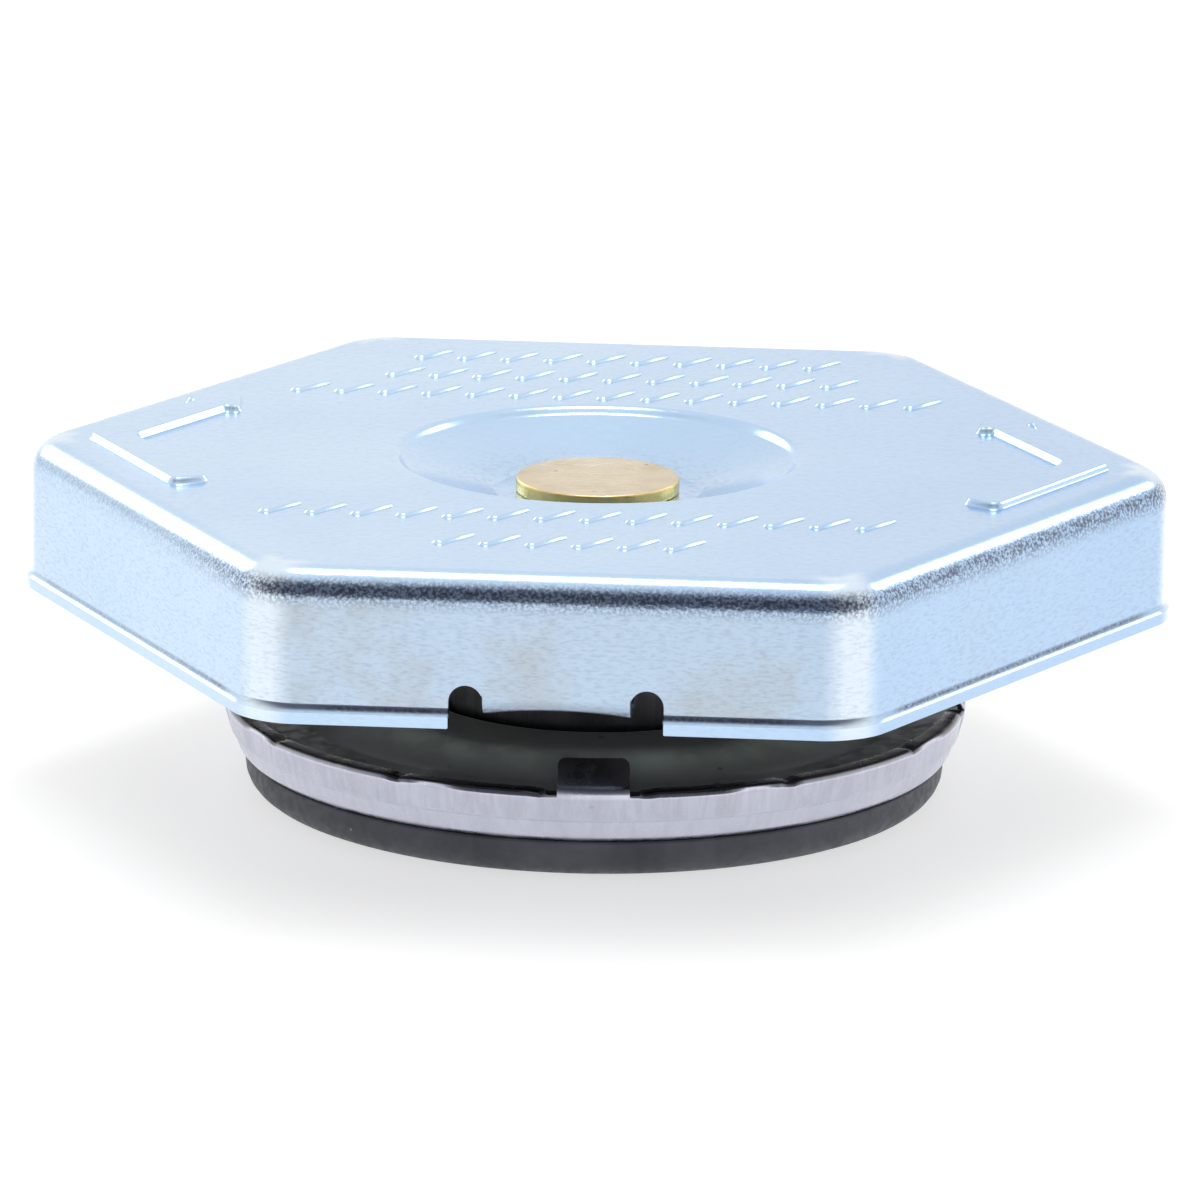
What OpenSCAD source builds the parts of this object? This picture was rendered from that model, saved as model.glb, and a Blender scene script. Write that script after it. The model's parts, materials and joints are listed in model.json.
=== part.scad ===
// Hexagonal pressure cap for a radiator filler neck.
// +Z is up, the flats of the hexagon face +Y and -Y, and the gasket's sealing face lies on Z = 0.
// Lengths are millimetres. The valve is drawn at rest, hanging on the flange of its bell.

/* [Cover] */
// Width across the flats of the hexagon
cover_flats = 76.2; // [74:0.1:90]
// Height of the cover from the skirt's lower edge to the top
cover_h = 11.45; // [10:0.05:14]
// Sheet thickness of the cover
cover_t = 1; // [0.6:0.1:1.3]
// Radius of the six upright corners
corner_r = 5.2; // [4:0.1:8]
// Outer radius of the bend between the top and the skirt
top_bend_r = 2.2; // [1.6:0.1:3]
// Height of the flared band round the skirt's lower edge
lip_h = 0.9; // [0.6:0.1:1.8]
// How far the flared band stands out from the skirt
lip_flare = 0.35; // [0.1:0.05:0.8]
// Height of the soft blend from the flared band up to the skirt
lip_blend = 0.7; // [0.4:0.1:1.2]

/* [Recess in the cover] */
// Radius of the recess at the top face
recess_r = 15.3; // [13:0.1:20]
// Radius of the step inside the recess
recess_step_r = 9.1; // [8.5:0.1:11]
// Depth of the recess at the step
recess_step_depth = 2.1; // [1:0.1:2.5]
// Radius of the flat seat for the rivet
seat_r = 8.2; // [7:0.1:8.4]
// Depth of the rivet seat below the top face
seat_depth = 2.9; // [2.6:0.1:4]
// Radius of the bend at the recess's edge
recess_bend_r = 1.6; // [0.4:0.1:3]
// Radius of the two bends round the rivet seat
seat_bend_r = 0.8; // [0.2:0.1:1.5]

/* [Locking ears] */
// Width of each ear
ear_w = 10.8; // [8:0.1:14]
// How far an ear reaches in from the skirt's outer face
ear_reach = 6.4; // [5:0.1:7.5]
// Height of the ear's underside above the skirt's lower edge
ear_rise = 0.8; // [0.4:0.05:1.8]
// Outer radius of the ear's bend
ear_bend_r = 1.7; // [1.4:0.1:2.2]
// Width of the relief slot on either side of an ear
slot_w = 2.4; // [1.6:0.1:3]
// Height of the relief slots above the skirt's lower edge
slot_h = 3.2; // [3:0.1:4.5]

/* [Raised arrows] */
// Height of the two raised arrows above the top face
arrow_h = 0.45; // [0.2:0.05:0.8]
// Width of an arrow's shaft
arrow_w = 3.5; // [2.5:0.1:5]
// Space between an arrow's outer edge and the skirt's outer face
arrow_edge = 4.3; // [3.6:0.1:6]
// Length of an arrow's tail, measured along the skirt from the corner
arrow_tail = 16.3; // [10:0.1:18]
// Length of an arrow's shaft beyond the corner
arrow_shaft = 13.3; // [9:0.1:14]
// Length of an arrow's head
arrow_head = 4.5; // [3:0.1:6]
// How far each barb stands out from the shaft
arrow_barb = 1.5; // [0.8:0.1:1.8]

/* [Rivet] */
// Radius of the rivet's head
rivet_head_r = 6.2; // [5:0.1:6.9]
// Thickness of the rivet's head
rivet_head_t = 1.1; // [0.8:0.1:1.8]
// Radius of the rivet's shank
rivet_r = 3; // [2:0.1:3.5]
// Radius of the rivet's peened tail
tail_r = 4.4; // [4.1:0.1:5]
// Height of the peened tail
tail_h = 1.2; // [0.8:0.1:2]
// Outer radius of the washer under the tail
washer_r = 6; // [5.2:0.1:7]
// Thickness of the washer under the tail
washer_t = 0.6; // [0.4:0.1:1]

/* [Sealing diaphragm] */
// Outer radius of the diaphragm
diaphragm_r = 34; // [28:0.1:35]
// Sheet thickness of the diaphragm
diaphragm_t = 0.5; // [0.3:0.05:0.8]
// Radius of the flat hub
diaphragm_hub_r = 9.5; // [8:0.1:12]
// Width of the flat rim that meets the neck
diaphragm_rim_w = 5; // [3:0.1:7]
// How far the rim lies below the hub
diaphragm_dish = 0.9; // [0.4:0.05:1.4]

/* [Bell] */
// Outer radius of the bell
bell_r = 12.6; // [12:0.1:14]
// Height of the bell from flange to crown
bell_h = 15.45; // [14:0.05:20]
// Sheet thickness of the bell
bell_t = 0.8; // [0.6:0.1:0.9]
// Outer radius of the crown's bend
bell_bend_r = 2; // [1.5:0.1:3]
// Width of the flange that carries the valve
bell_flange_w = 3; // [2.2:0.1:4]

/* [Valve cup] */
// Outer radius of the crimped rim
cup_r = 28.3; // [26:0.05:28.6]
// Sheet thickness of the cup
cup_t = 0.7; // [0.5:0.05:0.8]
// Height of the cup from floor to rim
cup_h = 4.3; // [4:0.05:6]
// Outer radius of the fillet between floor and wall
cup_fillet_r = 1.4; // [0.8:0.1:1.4]
// Angle of the lower wall from the upright
wall_lean = 20; // [0:1:25]
// Angle of the crimped collar from the upright
collar_lean = 17; // [0:1:20]
// How far the crimped collar stands out from the lower wall
collar_step = 0.2; // [0.1:0.05:0.6]
// Width of the rim that is turned in over the retainer
rim_w = 1.3; // [1.1:0.05:3]
// Number of crimp tabs round the rim
tab_count = 4; // [3:1:6]
// Width of a crimp tab
tab_w = 5.4; // [4:0.1:7]
// Length of a crimp tab beyond the rim
tab_len = 3.2; // [2:0.1:3.5]
// Radius of a crimp tab's two free corners
tab_corner_r = 0.8; // [0.3:0.1:1.5]
// Angle of a crimp tab from the upright
tab_tilt = 42; // [30:1:60]
// Width of the relief cut beside a tab
tab_relief = 0.9; // [0.5:0.1:1.5]
// Rise of the floor's raised centre
plateau_rise = 0.8; // [0.5:0.05:1]
// Radius of the floor's raised centre
plateau_r = 8.6; // [7.5:0.1:9]
// Radius of the vent through the floor
vent_r = 3.4; // [2.6:0.1:3.8]
// Thickness of the flare that holds the gasket's washer
flare_t = 0.5; // [0.3:0.05:0.6]
// Radius of the flare
flare_r = 6; // [5.4:0.1:7]

/* [Retainer dish] */
// Sheet thickness of the retainer
dish_t = 0.9; // [0.7:0.05:1]
// Rise of the retainer's land above its brim
dish_rise = 1.3; // [1:0.05:2.4]
// Radius at the top of the shoulder
shoulder_top_r = 19.2; // [18:0.1:20]
// Radius at the foot of the shoulder
shoulder_foot_r = 22.9; // [22:0.1:23.4]
// Inner radius of the two bends in the shoulder
shoulder_bend_r = 5; // [1:0.5:8]
// Radius of the four drain holes in the brim
drain_r = 0.7; // [0.4:0.05:0.9]

/* [Gasket] */
// Outer radius of the gasket
gasket_r = 26.6; // [25:0.1:27.5]
// Height of the gasket below the cup's floor
gasket_t = 2.9; // [2.5:0.05:4]
// Radius of the gasket's lower outer edge
gasket_edge_r = 2; // [0.5:0.1:2.4]
// Radius of the hollow in the gasket's underside
hollow_r = 9.9; // [9.6:0.1:12]
// Thickness of the gasket's web over the hollow
web_t = 1; // [0.8:0.05:1.2]
// Thickness of the washer that holds the gasket
holder_t = 0.7; // [0.5:0.05:0.8]
// Outer radius of the washer that holds the gasket
holder_r = 9.2; // [7.5:0.1:9.4]

/* [Vacuum valve] */
// Radius of the vacuum valve's disc
vacuum_r = 6.2; // [5.6:0.1:7.5]
// Thickness of the vacuum valve's disc
vacuum_t = 0.5; // [0.3:0.05:0.55]
// Thickness of the vacuum valve's rubber seal
vacuum_seal_t = 0.45; // [0.3:0.05:0.5]
// Radius of the vacuum valve's stem
stem_r = 1.3; // [0.9:0.05:1.6]
// Radius of the keeper on the stem
keeper_r = 5.4; // [5.1:0.1:6.5]
// Thickness of the keeper
keeper_t = 0.5; // [0.4:0.05:0.8]
// Height of the vacuum spring
vacuum_spring_h = 4.2; // [3.6:0.1:6]
// Wire diameter of the vacuum spring
vacuum_wire = 0.5; // [0.3:0.05:0.6]
// Number of turns in the vacuum spring
vacuum_turns = 3.5; // [3:0.5:4.5]

/* [Pressure spring] */
// Wire diameter of the pressure spring
spring_wire = 1.8; // [1.2:0.1:1.8]
// Number of turns in the pressure spring
spring_turns = 6; // [4:0.5:6.5]

/* [Hidden] */
$fn = 96;

// Running clearance between pieces that turn or slide on each other
run = 0.06;
// Loose clearance round pieces that only pass each other
loose = 0.3;
// Gap between the bell and the retainer that slides along it
bell_gap = 0.9;
// Inner radius of the tight bends
tight_bend = 0.4;
// Overlap that carries a cut past the face it opens
past = 1;

// Heights of the valve, from the sealing face up
floor_z = gasket_t;
floor_top = floor_z + cup_t;
plateau_z = floor_z + plateau_rise;
plateau_top = plateau_z + cup_t;
rim_z = floor_z + cup_h;
brim_top = rim_z - cup_t;
brim_z = brim_top - dish_t;
step_z = brim_z - cup_t;
land_top = brim_top + dish_rise;
land_z = land_top - dish_t;

// Heights of the parts under the vent
web_z = plateau_z - web_t;
holder_z = web_z - holder_t;
flare_z = holder_z - flare_t;
vacuum_seal_z = flare_z - run - vacuum_seal_t;
vacuum_z = vacuum_seal_z - vacuum_t;
keeper_z = plateau_top + vacuum_spring_h + run;
stem_head = 0.7;

// Heights of the bell, the stack on the rivet and the cover
flange_z = land_z - run - bell_t;
bell_top = flange_z + bell_h;
crown_z = bell_top - bell_t;
hub_z = bell_top + run;
seat_z = hub_z + diaphragm_t + cover_t;
cover_top = seat_z + seat_depth;
lip_z = cover_top - cover_h;

// Plan of the hexagon, and the steps in which its corners and its bend are drawn
apothem = cover_flats / 2;
corner_steps = 10;
bend_steps = 6;
lip_steps = 3;
corner_ring = (apothem - corner_r) / cos(30);

// Radii that follow from their neighbours
collar_foot_r = cup_r - (brim_top - step_z) * tan(collar_lean);
wall_top_r = collar_foot_r - collar_step;
wall_foot_r = wall_top_r - (step_z - collar_step - floor_z) * tan(wall_lean);
floor_edge_r = wall_foot_r - 2 * cup_fillet_r;
brim_seat_r = cup_r - cup_t - dish_t * tan(collar_lean);
rim_inner_r = cup_r - rim_w;
relief_floor = 0.4 * cup_t;
brim_r = brim_seat_r - run;
dish_hole_r = bell_r + bell_gap;
drain_ring_r = (shoulder_foot_r + rim_inner_r) / 2;
plateau_foot_r = plateau_r + plateau_rise;
flare_neck_r = vent_r + cup_t;
spring_r = (plateau_foot_r + bell_r - bell_t) / 2;
vacuum_spring_r = vent_r + cup_t + vacuum_wire;
tab_angle = 2 * asin(tab_w / 2 / cup_r);
relief_angle = 2 * asin(tab_relief / 2 / cup_r);
// The valve is turned so that one tab faces a viewer at this azimuth
valve_turn = 4.2;

// A direction of length 1
function unit(v) = v / norm(v);

// A closed outline's points, with its corners, given as x, y and radius, rounded as far as its sides allow
function rounded(corners, steps = 8) = [
    for (i = [0:len(corners) - 1])
        let (n = len(corners), here = [corners[i][0], corners[i][1]])
        let (a = corners[(i + n - 1) % n], b = corners[(i + 1) % n])
        let (back = [a[0], a[1]] - here, on = [b[0], b[1]] - here)
        let (half = acos(unit(back) * unit(on)) / 2)
        let (reach = min(corners[i][2] / tan(half), 0.48 * norm(back), 0.48 * norm(on)))
        let (centre = here + unit(unit(back) + unit(on)) * reach / cos(half))
        let (start = here + unit(back) * reach - centre, stop = here + unit(on) * reach - centre)
        let (turn = atan2(start.x * stop.y - start.y * stop.x, start * stop))
        each reach == 0 ? [here] : [
            for (k = [0:steps]) let (c = cos(turn * k / steps), s = sin(turn * k / steps))
                centre + [start.x * c - start.y * s, start.x * s + start.y * c]
        ]
];

// A quarter of a ring in the first quadrant
module quarter_ring(outer, wall) {
    intersection() {
        difference() {
            circle(outer);
            circle(outer - wall);
        }
        square(outer);
    }
}

// A ring of rectangular section round the Z axis
module washer(outer, inner, low, thick) {
    translate([0, 0, low]) difference() {
        cylinder(h = thick, r = outer);
        translate([0, 0, -past]) cylinder(h = thick + 2 * past, r = inner);
    }
}

// Height of a coil's centreline after some turns, with one closed turn at each end
function coil_rise(turn, turns, height, wire) =
    let (closed = wire * 1.04)
    let (open = (height - wire - 2 * closed) / (turns - 2))
    turn < 1 ? turn * closed
    : turn > turns - 1 ? height - wire - (turns - turn) * closed
    : closed + (turn - 1) * open;

// A coil spring that stands on Z = 0, made of round wire
module coil(radius, wire, turns, height, sides, steps) {
    rings = round(turns * steps);
    points = [
        for (i = [0:rings]) for (k = [0:sides - 1])
            let (turn = i / steps, side = 360 * k / sides)
            let (reach = radius + wire / 2 * cos(side))
            [
                reach * cos(360 * turn),
                reach * sin(360 * turn),
                wire / 2 + coil_rise(turn, turns, height, wire) + wire / 2 * sin(side)
            ]
    ];
    walls = [
        for (i = [0:rings - 1]) for (k = [0:sides - 1])
            let (next = (k + 1) % sides)
            [i * sides + k, i * sides + next, (i + 1) * sides + next, (i + 1) * sides + k]
    ];
    ends = [
        [for (k = [sides - 1:-1:0]) k],
        [for (k = [0:sides - 1]) rings * sides + k]
    ];
    polyhedron(points, concat(walls, ends));
}

// Section of the cover's skirt: distance out from a corner's centre line, and height above the skirt's edge
function skirt_section() =
    let (wall_in = corner_r - cover_t)
    let (bend = [corner_r - top_bend_r, cover_h - top_bend_r])
    let (blend = [
        for (i = [0:lip_steps]) let (s = i / lip_steps)
            [lip_flare * s * s, lip_h + lip_blend * (1 - s)]
    ])
    concat(
        [for (i = [bend_steps:-1:0]) let (a = 90 * i / bend_steps) bend + top_bend_r * [cos(a), sin(a)]],
        [for (p = blend) p + [corner_r, 0]],
        [[corner_r + lip_flare, 0], [wall_in + lip_flare, 0]],
        [for (i = [lip_steps:-1:0]) blend[i] + [wall_in, 0]],
        [for (i = [0:bend_steps]) let (a = 90 * i / bend_steps)
            bend + (top_bend_r - cover_t) * [cos(a), sin(a)]]
    );

// The drawn hexagonal shell: one section carried round six flats and six corners, closed by the top
module hexagon_shell() {
    section = skirt_section();
    n = len(section);
    headings = [for (k = [0:5]) for (i = [0:corner_steps]) [60 * k, 60 * k - 30 + 60 * i / corner_steps]];
    m = len(headings);
    points = [
        for (h = headings) for (p = section) [
            corner_ring * cos(h[0]) + p[0] * cos(h[1]),
            corner_ring * sin(h[0]) + p[0] * sin(h[1]),
            p[1]
        ]
    ];
    walls = [
        for (j = [0:m - 1]) for (i = [0:n - 2])
            let (next = (j + 1) % m)
            [j * n + i, j * n + i + 1, next * n + i + 1, next * n + i]
    ];
    top = [for (j = [m - 1:-1:0]) j * n];
    under = [for (j = [0:m - 1]) j * n + n - 1];
    polyhedron(points, concat(walls, [top, under]));
}

// Section of the recess, down to the rivet's seat
module recess_section() {
    top = [
        [rivet_r, -seat_depth, 0], [seat_r, -seat_depth, seat_bend_r],
        [recess_step_r, -recess_step_depth, seat_bend_r],
        [recess_r, 0, recess_bend_r], [recess_r + cover_t, 0, 0]
    ];
    under = [for (i = [len(top) - 1:-1:0]) top[i] - [0, cover_t, 0]];
    polygon(rounded(concat(top, under), steps = 4));
}

// One ear on the flat that faces +Y: the skirt's tongue, its bend and the tab that locks
module ear() {
    bend_z = ear_rise + ear_bend_r;
    translate([-ear_w / 2, apothem, 0]) rotate([90, 0, 90]) linear_extrude(ear_w) {
        translate([-cover_t, bend_z]) square([cover_t, slot_h - bend_z + cover_t]);
        translate([-ear_bend_r, bend_z]) mirror([0, 1]) quarter_ring(ear_bend_r, cover_t);
        translate([-ear_reach, ear_rise]) square([ear_reach - ear_bend_r, cover_t]);
    }
}

// What is cut out of the skirt for one ear: two round-topped slots and the tongue between them
module ear_cut() {
    depth = cover_t + lip_flare + 2 * past;
    span = ear_w + 2 * slot_w;
    translate([0, apothem + lip_flare + past, 0]) rotate([90, 0, 0]) linear_extrude(depth) {
        for (side = [-1, 1]) translate([side * (ear_w + slot_w) / 2, 0]) {
            translate([0, slot_h - slot_w / 2]) circle(slot_w / 2);
            translate([-slot_w / 2, -past]) square([slot_w, slot_h - slot_w / 2 + past]);
        }
        translate([-span / 2, -past]) square([span, ear_rise + ear_bend_r + past]);
    }
}

// Outline of an arrow that bends round the corner on +X, tail towards -Y
module arrow_outline() {
    out = apothem - arrow_edge;
    in = out - arrow_w;
    // A point at some distance from the centre line of a flat and along it, on the tail's or the head's side
    function on_flat(side, away, along) = [
        away * cos(30) - along * sin(30),
        side * (away * sin(30) + along * cos(30))
    ];
    tail = arrow_tail - out * tan(30);
    neck = arrow_shaft - out * tan(30);
    polygon([
        on_flat(-1, out, -out * tan(30)), on_flat(1, out, neck), on_flat(1, out + arrow_barb, neck),
        on_flat(1, (out + in) / 2, neck + arrow_head), on_flat(1, in - arrow_barb, neck),
        on_flat(1, in, neck), on_flat(1, in, -in * tan(30)), on_flat(-1, in, tail), on_flat(-1, out, tail)
    ]);
}

module cover() {
    color("lightsteelblue") translate([0, 0, lip_z]) {
        difference() {
            hexagon_shell();
            translate([0, 0, cover_h - cover_t - past])
                cylinder(h = cover_t + 2 * past, r = recess_r + cover_t);
            for (turn = [0, 180]) rotate(turn) ear_cut();
        }
        translate([0, 0, cover_h]) rotate_extrude() recess_section();
        for (turn = [0, 180]) rotate(turn) ear();
        for (side = [0, 1]) mirror([side, 0, 0])
            translate([0, 0, cover_h - cover_t / 2]) linear_extrude(arrow_h + cover_t / 2) arrow_outline();
    }
}

module rivet() {
    edge = rivet_head_t / 5;
    tail_top = crown_z - run - washer_t;
    color("goldenrod") rotate_extrude() polygon([
        [0, tail_top - tail_h], [tail_r - tail_h / 2, tail_top - tail_h],
        [tail_r, tail_top - tail_h / 2], [tail_r, tail_top], [rivet_r, tail_top],
        [rivet_r, seat_z], [rivet_head_r, seat_z], [rivet_head_r, seat_z + rivet_head_t - edge],
        [rivet_head_r - edge, seat_z + rivet_head_t], [0, seat_z + rivet_head_t]
    ]);
}

module rivet_washer() {
    color("silver") washer(washer_r, rivet_r, crown_z - run - washer_t, washer_t);
}

module seal_diaphragm() {
    top = [
        [rivet_r, 0], [diaphragm_hub_r, 0],
        [diaphragm_r - diaphragm_rim_w, -diaphragm_dish], [diaphragm_r, -diaphragm_dish]
    ];
    under = [for (i = [len(top) - 1:-1:0]) top[i] - [0, diaphragm_t]];
    color("gainsboro") translate([0, 0, hub_z + diaphragm_t]) rotate_extrude() polygon(concat(top, under));
}

module bell() {
    wall_low = flange_z + bell_t + tight_bend;
    color("gray") rotate_extrude() {
        translate([rivet_r + run, crown_z]) square([bell_r - bell_bend_r - rivet_r - run, bell_t]);
        translate([bell_r - bell_bend_r, bell_top - bell_bend_r]) quarter_ring(bell_bend_r, bell_t);
        translate([bell_r - bell_t, wall_low]) square([bell_t, bell_top - bell_bend_r - wall_low]);
        translate([bell_r + tight_bend, wall_low]) rotate(180) quarter_ring(bell_t + tight_bend, bell_t);
        translate([bell_r + tight_bend, flange_z]) square([bell_flange_w - tight_bend, bell_t]);
    }
}

module pressure_spring() {
    color("dimgray") translate([0, 0, floor_top])
        coil(spring_r, spring_wire, spring_turns, crown_z - floor_top, 8, 20);
}

// Section of the cup's floor, from the flare under the vent out to its edge
module floor_section() {
    translate([plateau_foot_r, floor_z]) square([floor_edge_r - plateau_foot_r, cup_t]);
    polygon([
        [plateau_foot_r, floor_z], [plateau_foot_r, floor_top],
        [plateau_r, plateau_top], [plateau_r, plateau_z]
    ]);
    translate([vent_r, plateau_z]) square([plateau_r - vent_r, cup_t]);
    translate([vent_r, flare_z]) square([cup_t, plateau_z - flare_z]);
    translate([vent_r, flare_z]) square([flare_r - vent_r, flare_t]);
}

// Section of the cup's wall: fillet, flared lower wall and the stepped collar that seats the retainer
module wall_section() {
    polygon(rounded([
        [floor_edge_r, floor_z, 0], [wall_foot_r, floor_z, cup_fillet_r],
        [wall_top_r, step_z - collar_step, 0], [collar_foot_r, step_z, 0],
        [cup_r, brim_top, 0], [cup_r - cup_t, brim_top, 0],
        [brim_seat_r, brim_z, 0], [wall_top_r - cup_t, brim_z, 0],
        [wall_foot_r - cup_t, floor_top, cup_fillet_r - cup_t], [floor_edge_r, floor_top, 0]
    ], steps = 6));
}

// Section of the rim that is turned in over the retainer's brim
module rim_section() {
    translate([cup_r - cup_t, brim_top]) intersection() {
        circle(cup_t);
        square(cup_t);
    }
    translate([rim_inner_r, brim_top]) square([rim_w - cup_t, cup_t]);
}

// Front view of a crimp tab that stands on the X axis
module tab_front(height) {
    shoulder = height - tab_corner_r;
    inset = tab_w / 2 - tab_corner_r;
    translate([-tab_w / 2, 0]) square([tab_w, shoulder]);
    translate([-inset, 0]) square([2 * inset, height]);
    for (side = [-1, 1]) translate([side * inset, shoulder]) circle(tab_corner_r);
}

// A flat crimp tab on +X that rises out of the collar and leans in over the retainer
module crimp_tab() {
    bow = cup_r - sqrt(cup_r * cup_r - tab_w * tab_w / 4);
    root_z = brim_top - cup_t / 4;
    root_r = cup_r - (brim_top - root_z) * tan(collar_lean);
    outer = root_r - bow - run;
    inner = cup_r - cup_t + run;
    thick = outer - inner;
    bend_z = brim_top + cup_t / 2;
    up = [-sin(tab_tilt), cos(tab_tilt)];
    across = [cos(tab_tilt), sin(tab_tilt)];
    tip = [outer, bend_z] + tab_len * up;
    intersection() {
        translate([0, tab_w, 0]) rotate([90, 0, 0]) linear_extrude(2 * tab_w) polygon([
            [inner, root_z], [outer, root_z], [outer, bend_z],
            tip, tip - thick * across, [inner, bend_z - thick * tan(tab_tilt / 2)]
        ]);
        translate([0, 0, root_z]) rotate([90, 0, 90]) linear_extrude(cup_r + past) tab_front(tip.y - root_z);
    }
}

module valve_cup() {
    pitch = 360 / tab_count;
    gap = tab_angle + 2 * relief_angle;
    color("silver") rotate(valve_turn - 90) {
        difference() {
            rotate_extrude() {
                floor_section();
                wall_section();
                rim_section();
            }
            for (k = [0:tab_count - 1]) rotate(k * pitch - gap / 2) rotate_extrude(angle = gap)
                translate([rim_inner_r - past, brim_top + relief_floor]) square([rim_w + 2 * past, cup_t + past]);
        }
        for (k = [0:tab_count - 1]) rotate(k * pitch) crimp_tab();
    }
}

module retainer_dish() {
    holes = 4;
    color("darkslategray") rotate(valve_turn - 45) difference() {
        rotate_extrude() polygon(rounded([
            [dish_hole_r, land_z, 0], [shoulder_top_r - dish_t / 2, land_z, shoulder_bend_r],
            [shoulder_foot_r - dish_t / 2, brim_z, shoulder_bend_r + dish_t], [brim_r, brim_z, 0],
            [brim_r, brim_top, 0], [shoulder_foot_r, brim_top, shoulder_bend_r],
            [shoulder_top_r, land_top, shoulder_bend_r + dish_t], [dish_hole_r, land_top, 0]
        ]));
        for (k = [0:holes - 1]) rotate(k * 360 / holes) translate([drain_ring_r, 0, brim_z - past])
            cylinder(h = dish_t + 2 * past, r = drain_r);
    }
}

module gasket() {
    hole_r = flare_neck_r + run;
    color("dimgray") rotate_extrude() {
        polygon([
            [hollow_r, 0], [gasket_r - gasket_edge_r, 0], [gasket_r - gasket_edge_r, gasket_edge_r],
            [gasket_r, gasket_edge_r], [gasket_r, floor_z], [plateau_foot_r, floor_z], [plateau_r, plateau_z],
            [hole_r, plateau_z], [hole_r, web_z], [hollow_r, web_z]
        ]);
        translate([gasket_r - gasket_edge_r, gasket_edge_r]) mirror([0, 1])
            quarter_ring(gasket_edge_r, gasket_edge_r / 2);
        translate([gasket_r - gasket_edge_r, gasket_edge_r / 2]) square(gasket_edge_r / 2);
    }
}

module gasket_washer() {
    color("gainsboro") washer(holder_r, flare_neck_r + run, holder_z, holder_t);
}

module vacuum_disc() {
    color("khaki") washer(vacuum_r, stem_r, vacuum_z, vacuum_t);
}

// The stem is riveted to the disc below and holds the keeper above
module vacuum_stem() {
    foot = vacuum_z - vacuum_t / 4;
    head_z = keeper_z + keeper_t;
    color("khaki") rotate_extrude() polygon([
        [0, foot], [stem_r * 1.5, foot], [stem_r * 1.5, vacuum_z], [stem_r, vacuum_z],
        [stem_r, head_z], [stem_r * 1.6, head_z], [stem_r * 1.3, head_z + stem_head], [0, head_z + stem_head]
    ]);
}

module vacuum_seal() {
    color("black") washer(vacuum_r - loose, stem_r, vacuum_seal_z, vacuum_seal_t);
}

module vacuum_spring() {
    color("silver") translate([0, 0, plateau_top])
        coil(vacuum_spring_r, vacuum_wire, vacuum_turns, vacuum_spring_h, 6, 16);
}

module vacuum_keeper() {
    color("gainsboro") washer(keeper_r, stem_r, keeper_z, keeper_t);
}

cover();
rivet();
rivet_washer();
seal_diaphragm();
bell();
pressure_spring();
valve_cup();
retainer_dish();
gasket();
gasket_washer();
vacuum_disc();
vacuum_stem();
vacuum_seal();
vacuum_spring();
vacuum_keeper();
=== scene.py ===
"""Radiator cap with a hexagonal cover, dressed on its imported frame.

Lengths are metres in the frame's own axes: +Z is up, two flats of the hexagon face +Y and -Y,
and the gasket's sealing face lies on Z = 0.
"""

import json
import logging
import math
from contextlib import contextmanager
from dataclasses import dataclass
from enum import Enum
from functools import cache
from typing import Any, Callable, Iterator, Sequence

import bmesh
import bpy
from mathutils import Matrix, Vector, noise


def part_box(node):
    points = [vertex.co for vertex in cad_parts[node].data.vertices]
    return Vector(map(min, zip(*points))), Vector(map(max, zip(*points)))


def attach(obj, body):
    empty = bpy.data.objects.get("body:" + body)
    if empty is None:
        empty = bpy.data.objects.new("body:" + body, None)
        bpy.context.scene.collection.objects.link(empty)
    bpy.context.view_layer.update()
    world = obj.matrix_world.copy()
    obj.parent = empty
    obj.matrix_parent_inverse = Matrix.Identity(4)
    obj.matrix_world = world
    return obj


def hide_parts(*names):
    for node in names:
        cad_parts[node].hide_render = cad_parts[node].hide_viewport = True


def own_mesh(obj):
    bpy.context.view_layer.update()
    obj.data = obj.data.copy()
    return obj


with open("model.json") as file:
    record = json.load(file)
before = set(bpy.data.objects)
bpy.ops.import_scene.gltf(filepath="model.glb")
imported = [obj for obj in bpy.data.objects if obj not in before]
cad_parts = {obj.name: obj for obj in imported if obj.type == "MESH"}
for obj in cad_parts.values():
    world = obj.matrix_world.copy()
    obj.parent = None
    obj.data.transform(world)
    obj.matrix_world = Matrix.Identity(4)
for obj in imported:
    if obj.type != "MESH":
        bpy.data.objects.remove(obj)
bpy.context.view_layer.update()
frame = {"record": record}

MM = 0.001
TINY = 0.002 * MM
FULL_TURN = 2 * math.pi
QUARTER_TURN = math.pi / 2
HEX_HALF = math.pi / 6
LOG = logging.getLogger("radiator_cap")

Corner = tuple[float, float, float]
Outline = list[Vector]
Colour = tuple[float, float, float]
Piece = bpy.types.Object
Socket = bpy.types.NodeSocket


class Body(Enum):
    """The bodies of the frame that pieces ride on."""

    COVER = "cover"
    BELL = "bell"
    PRESSURE_VALVE = "pressure_valve"
    VACUUM_VALVE = "vacuum_valve"


class Pick(Enum):
    """What a selection in edit mode is made of."""

    VERTS = "VERT"
    EDGES = "EDGE"
    FACES = "FACE"


class Combine(Enum):
    """How one solid is worked into another."""

    UNION = "UNION"
    DIFFERENCE = "DIFFERENCE"


class Effect(Enum):
    """Shader effects that several finishes share."""

    MOTTLE = "mottle"
    SPECKS = "specks"
    STREAKS = "streaks"


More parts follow.
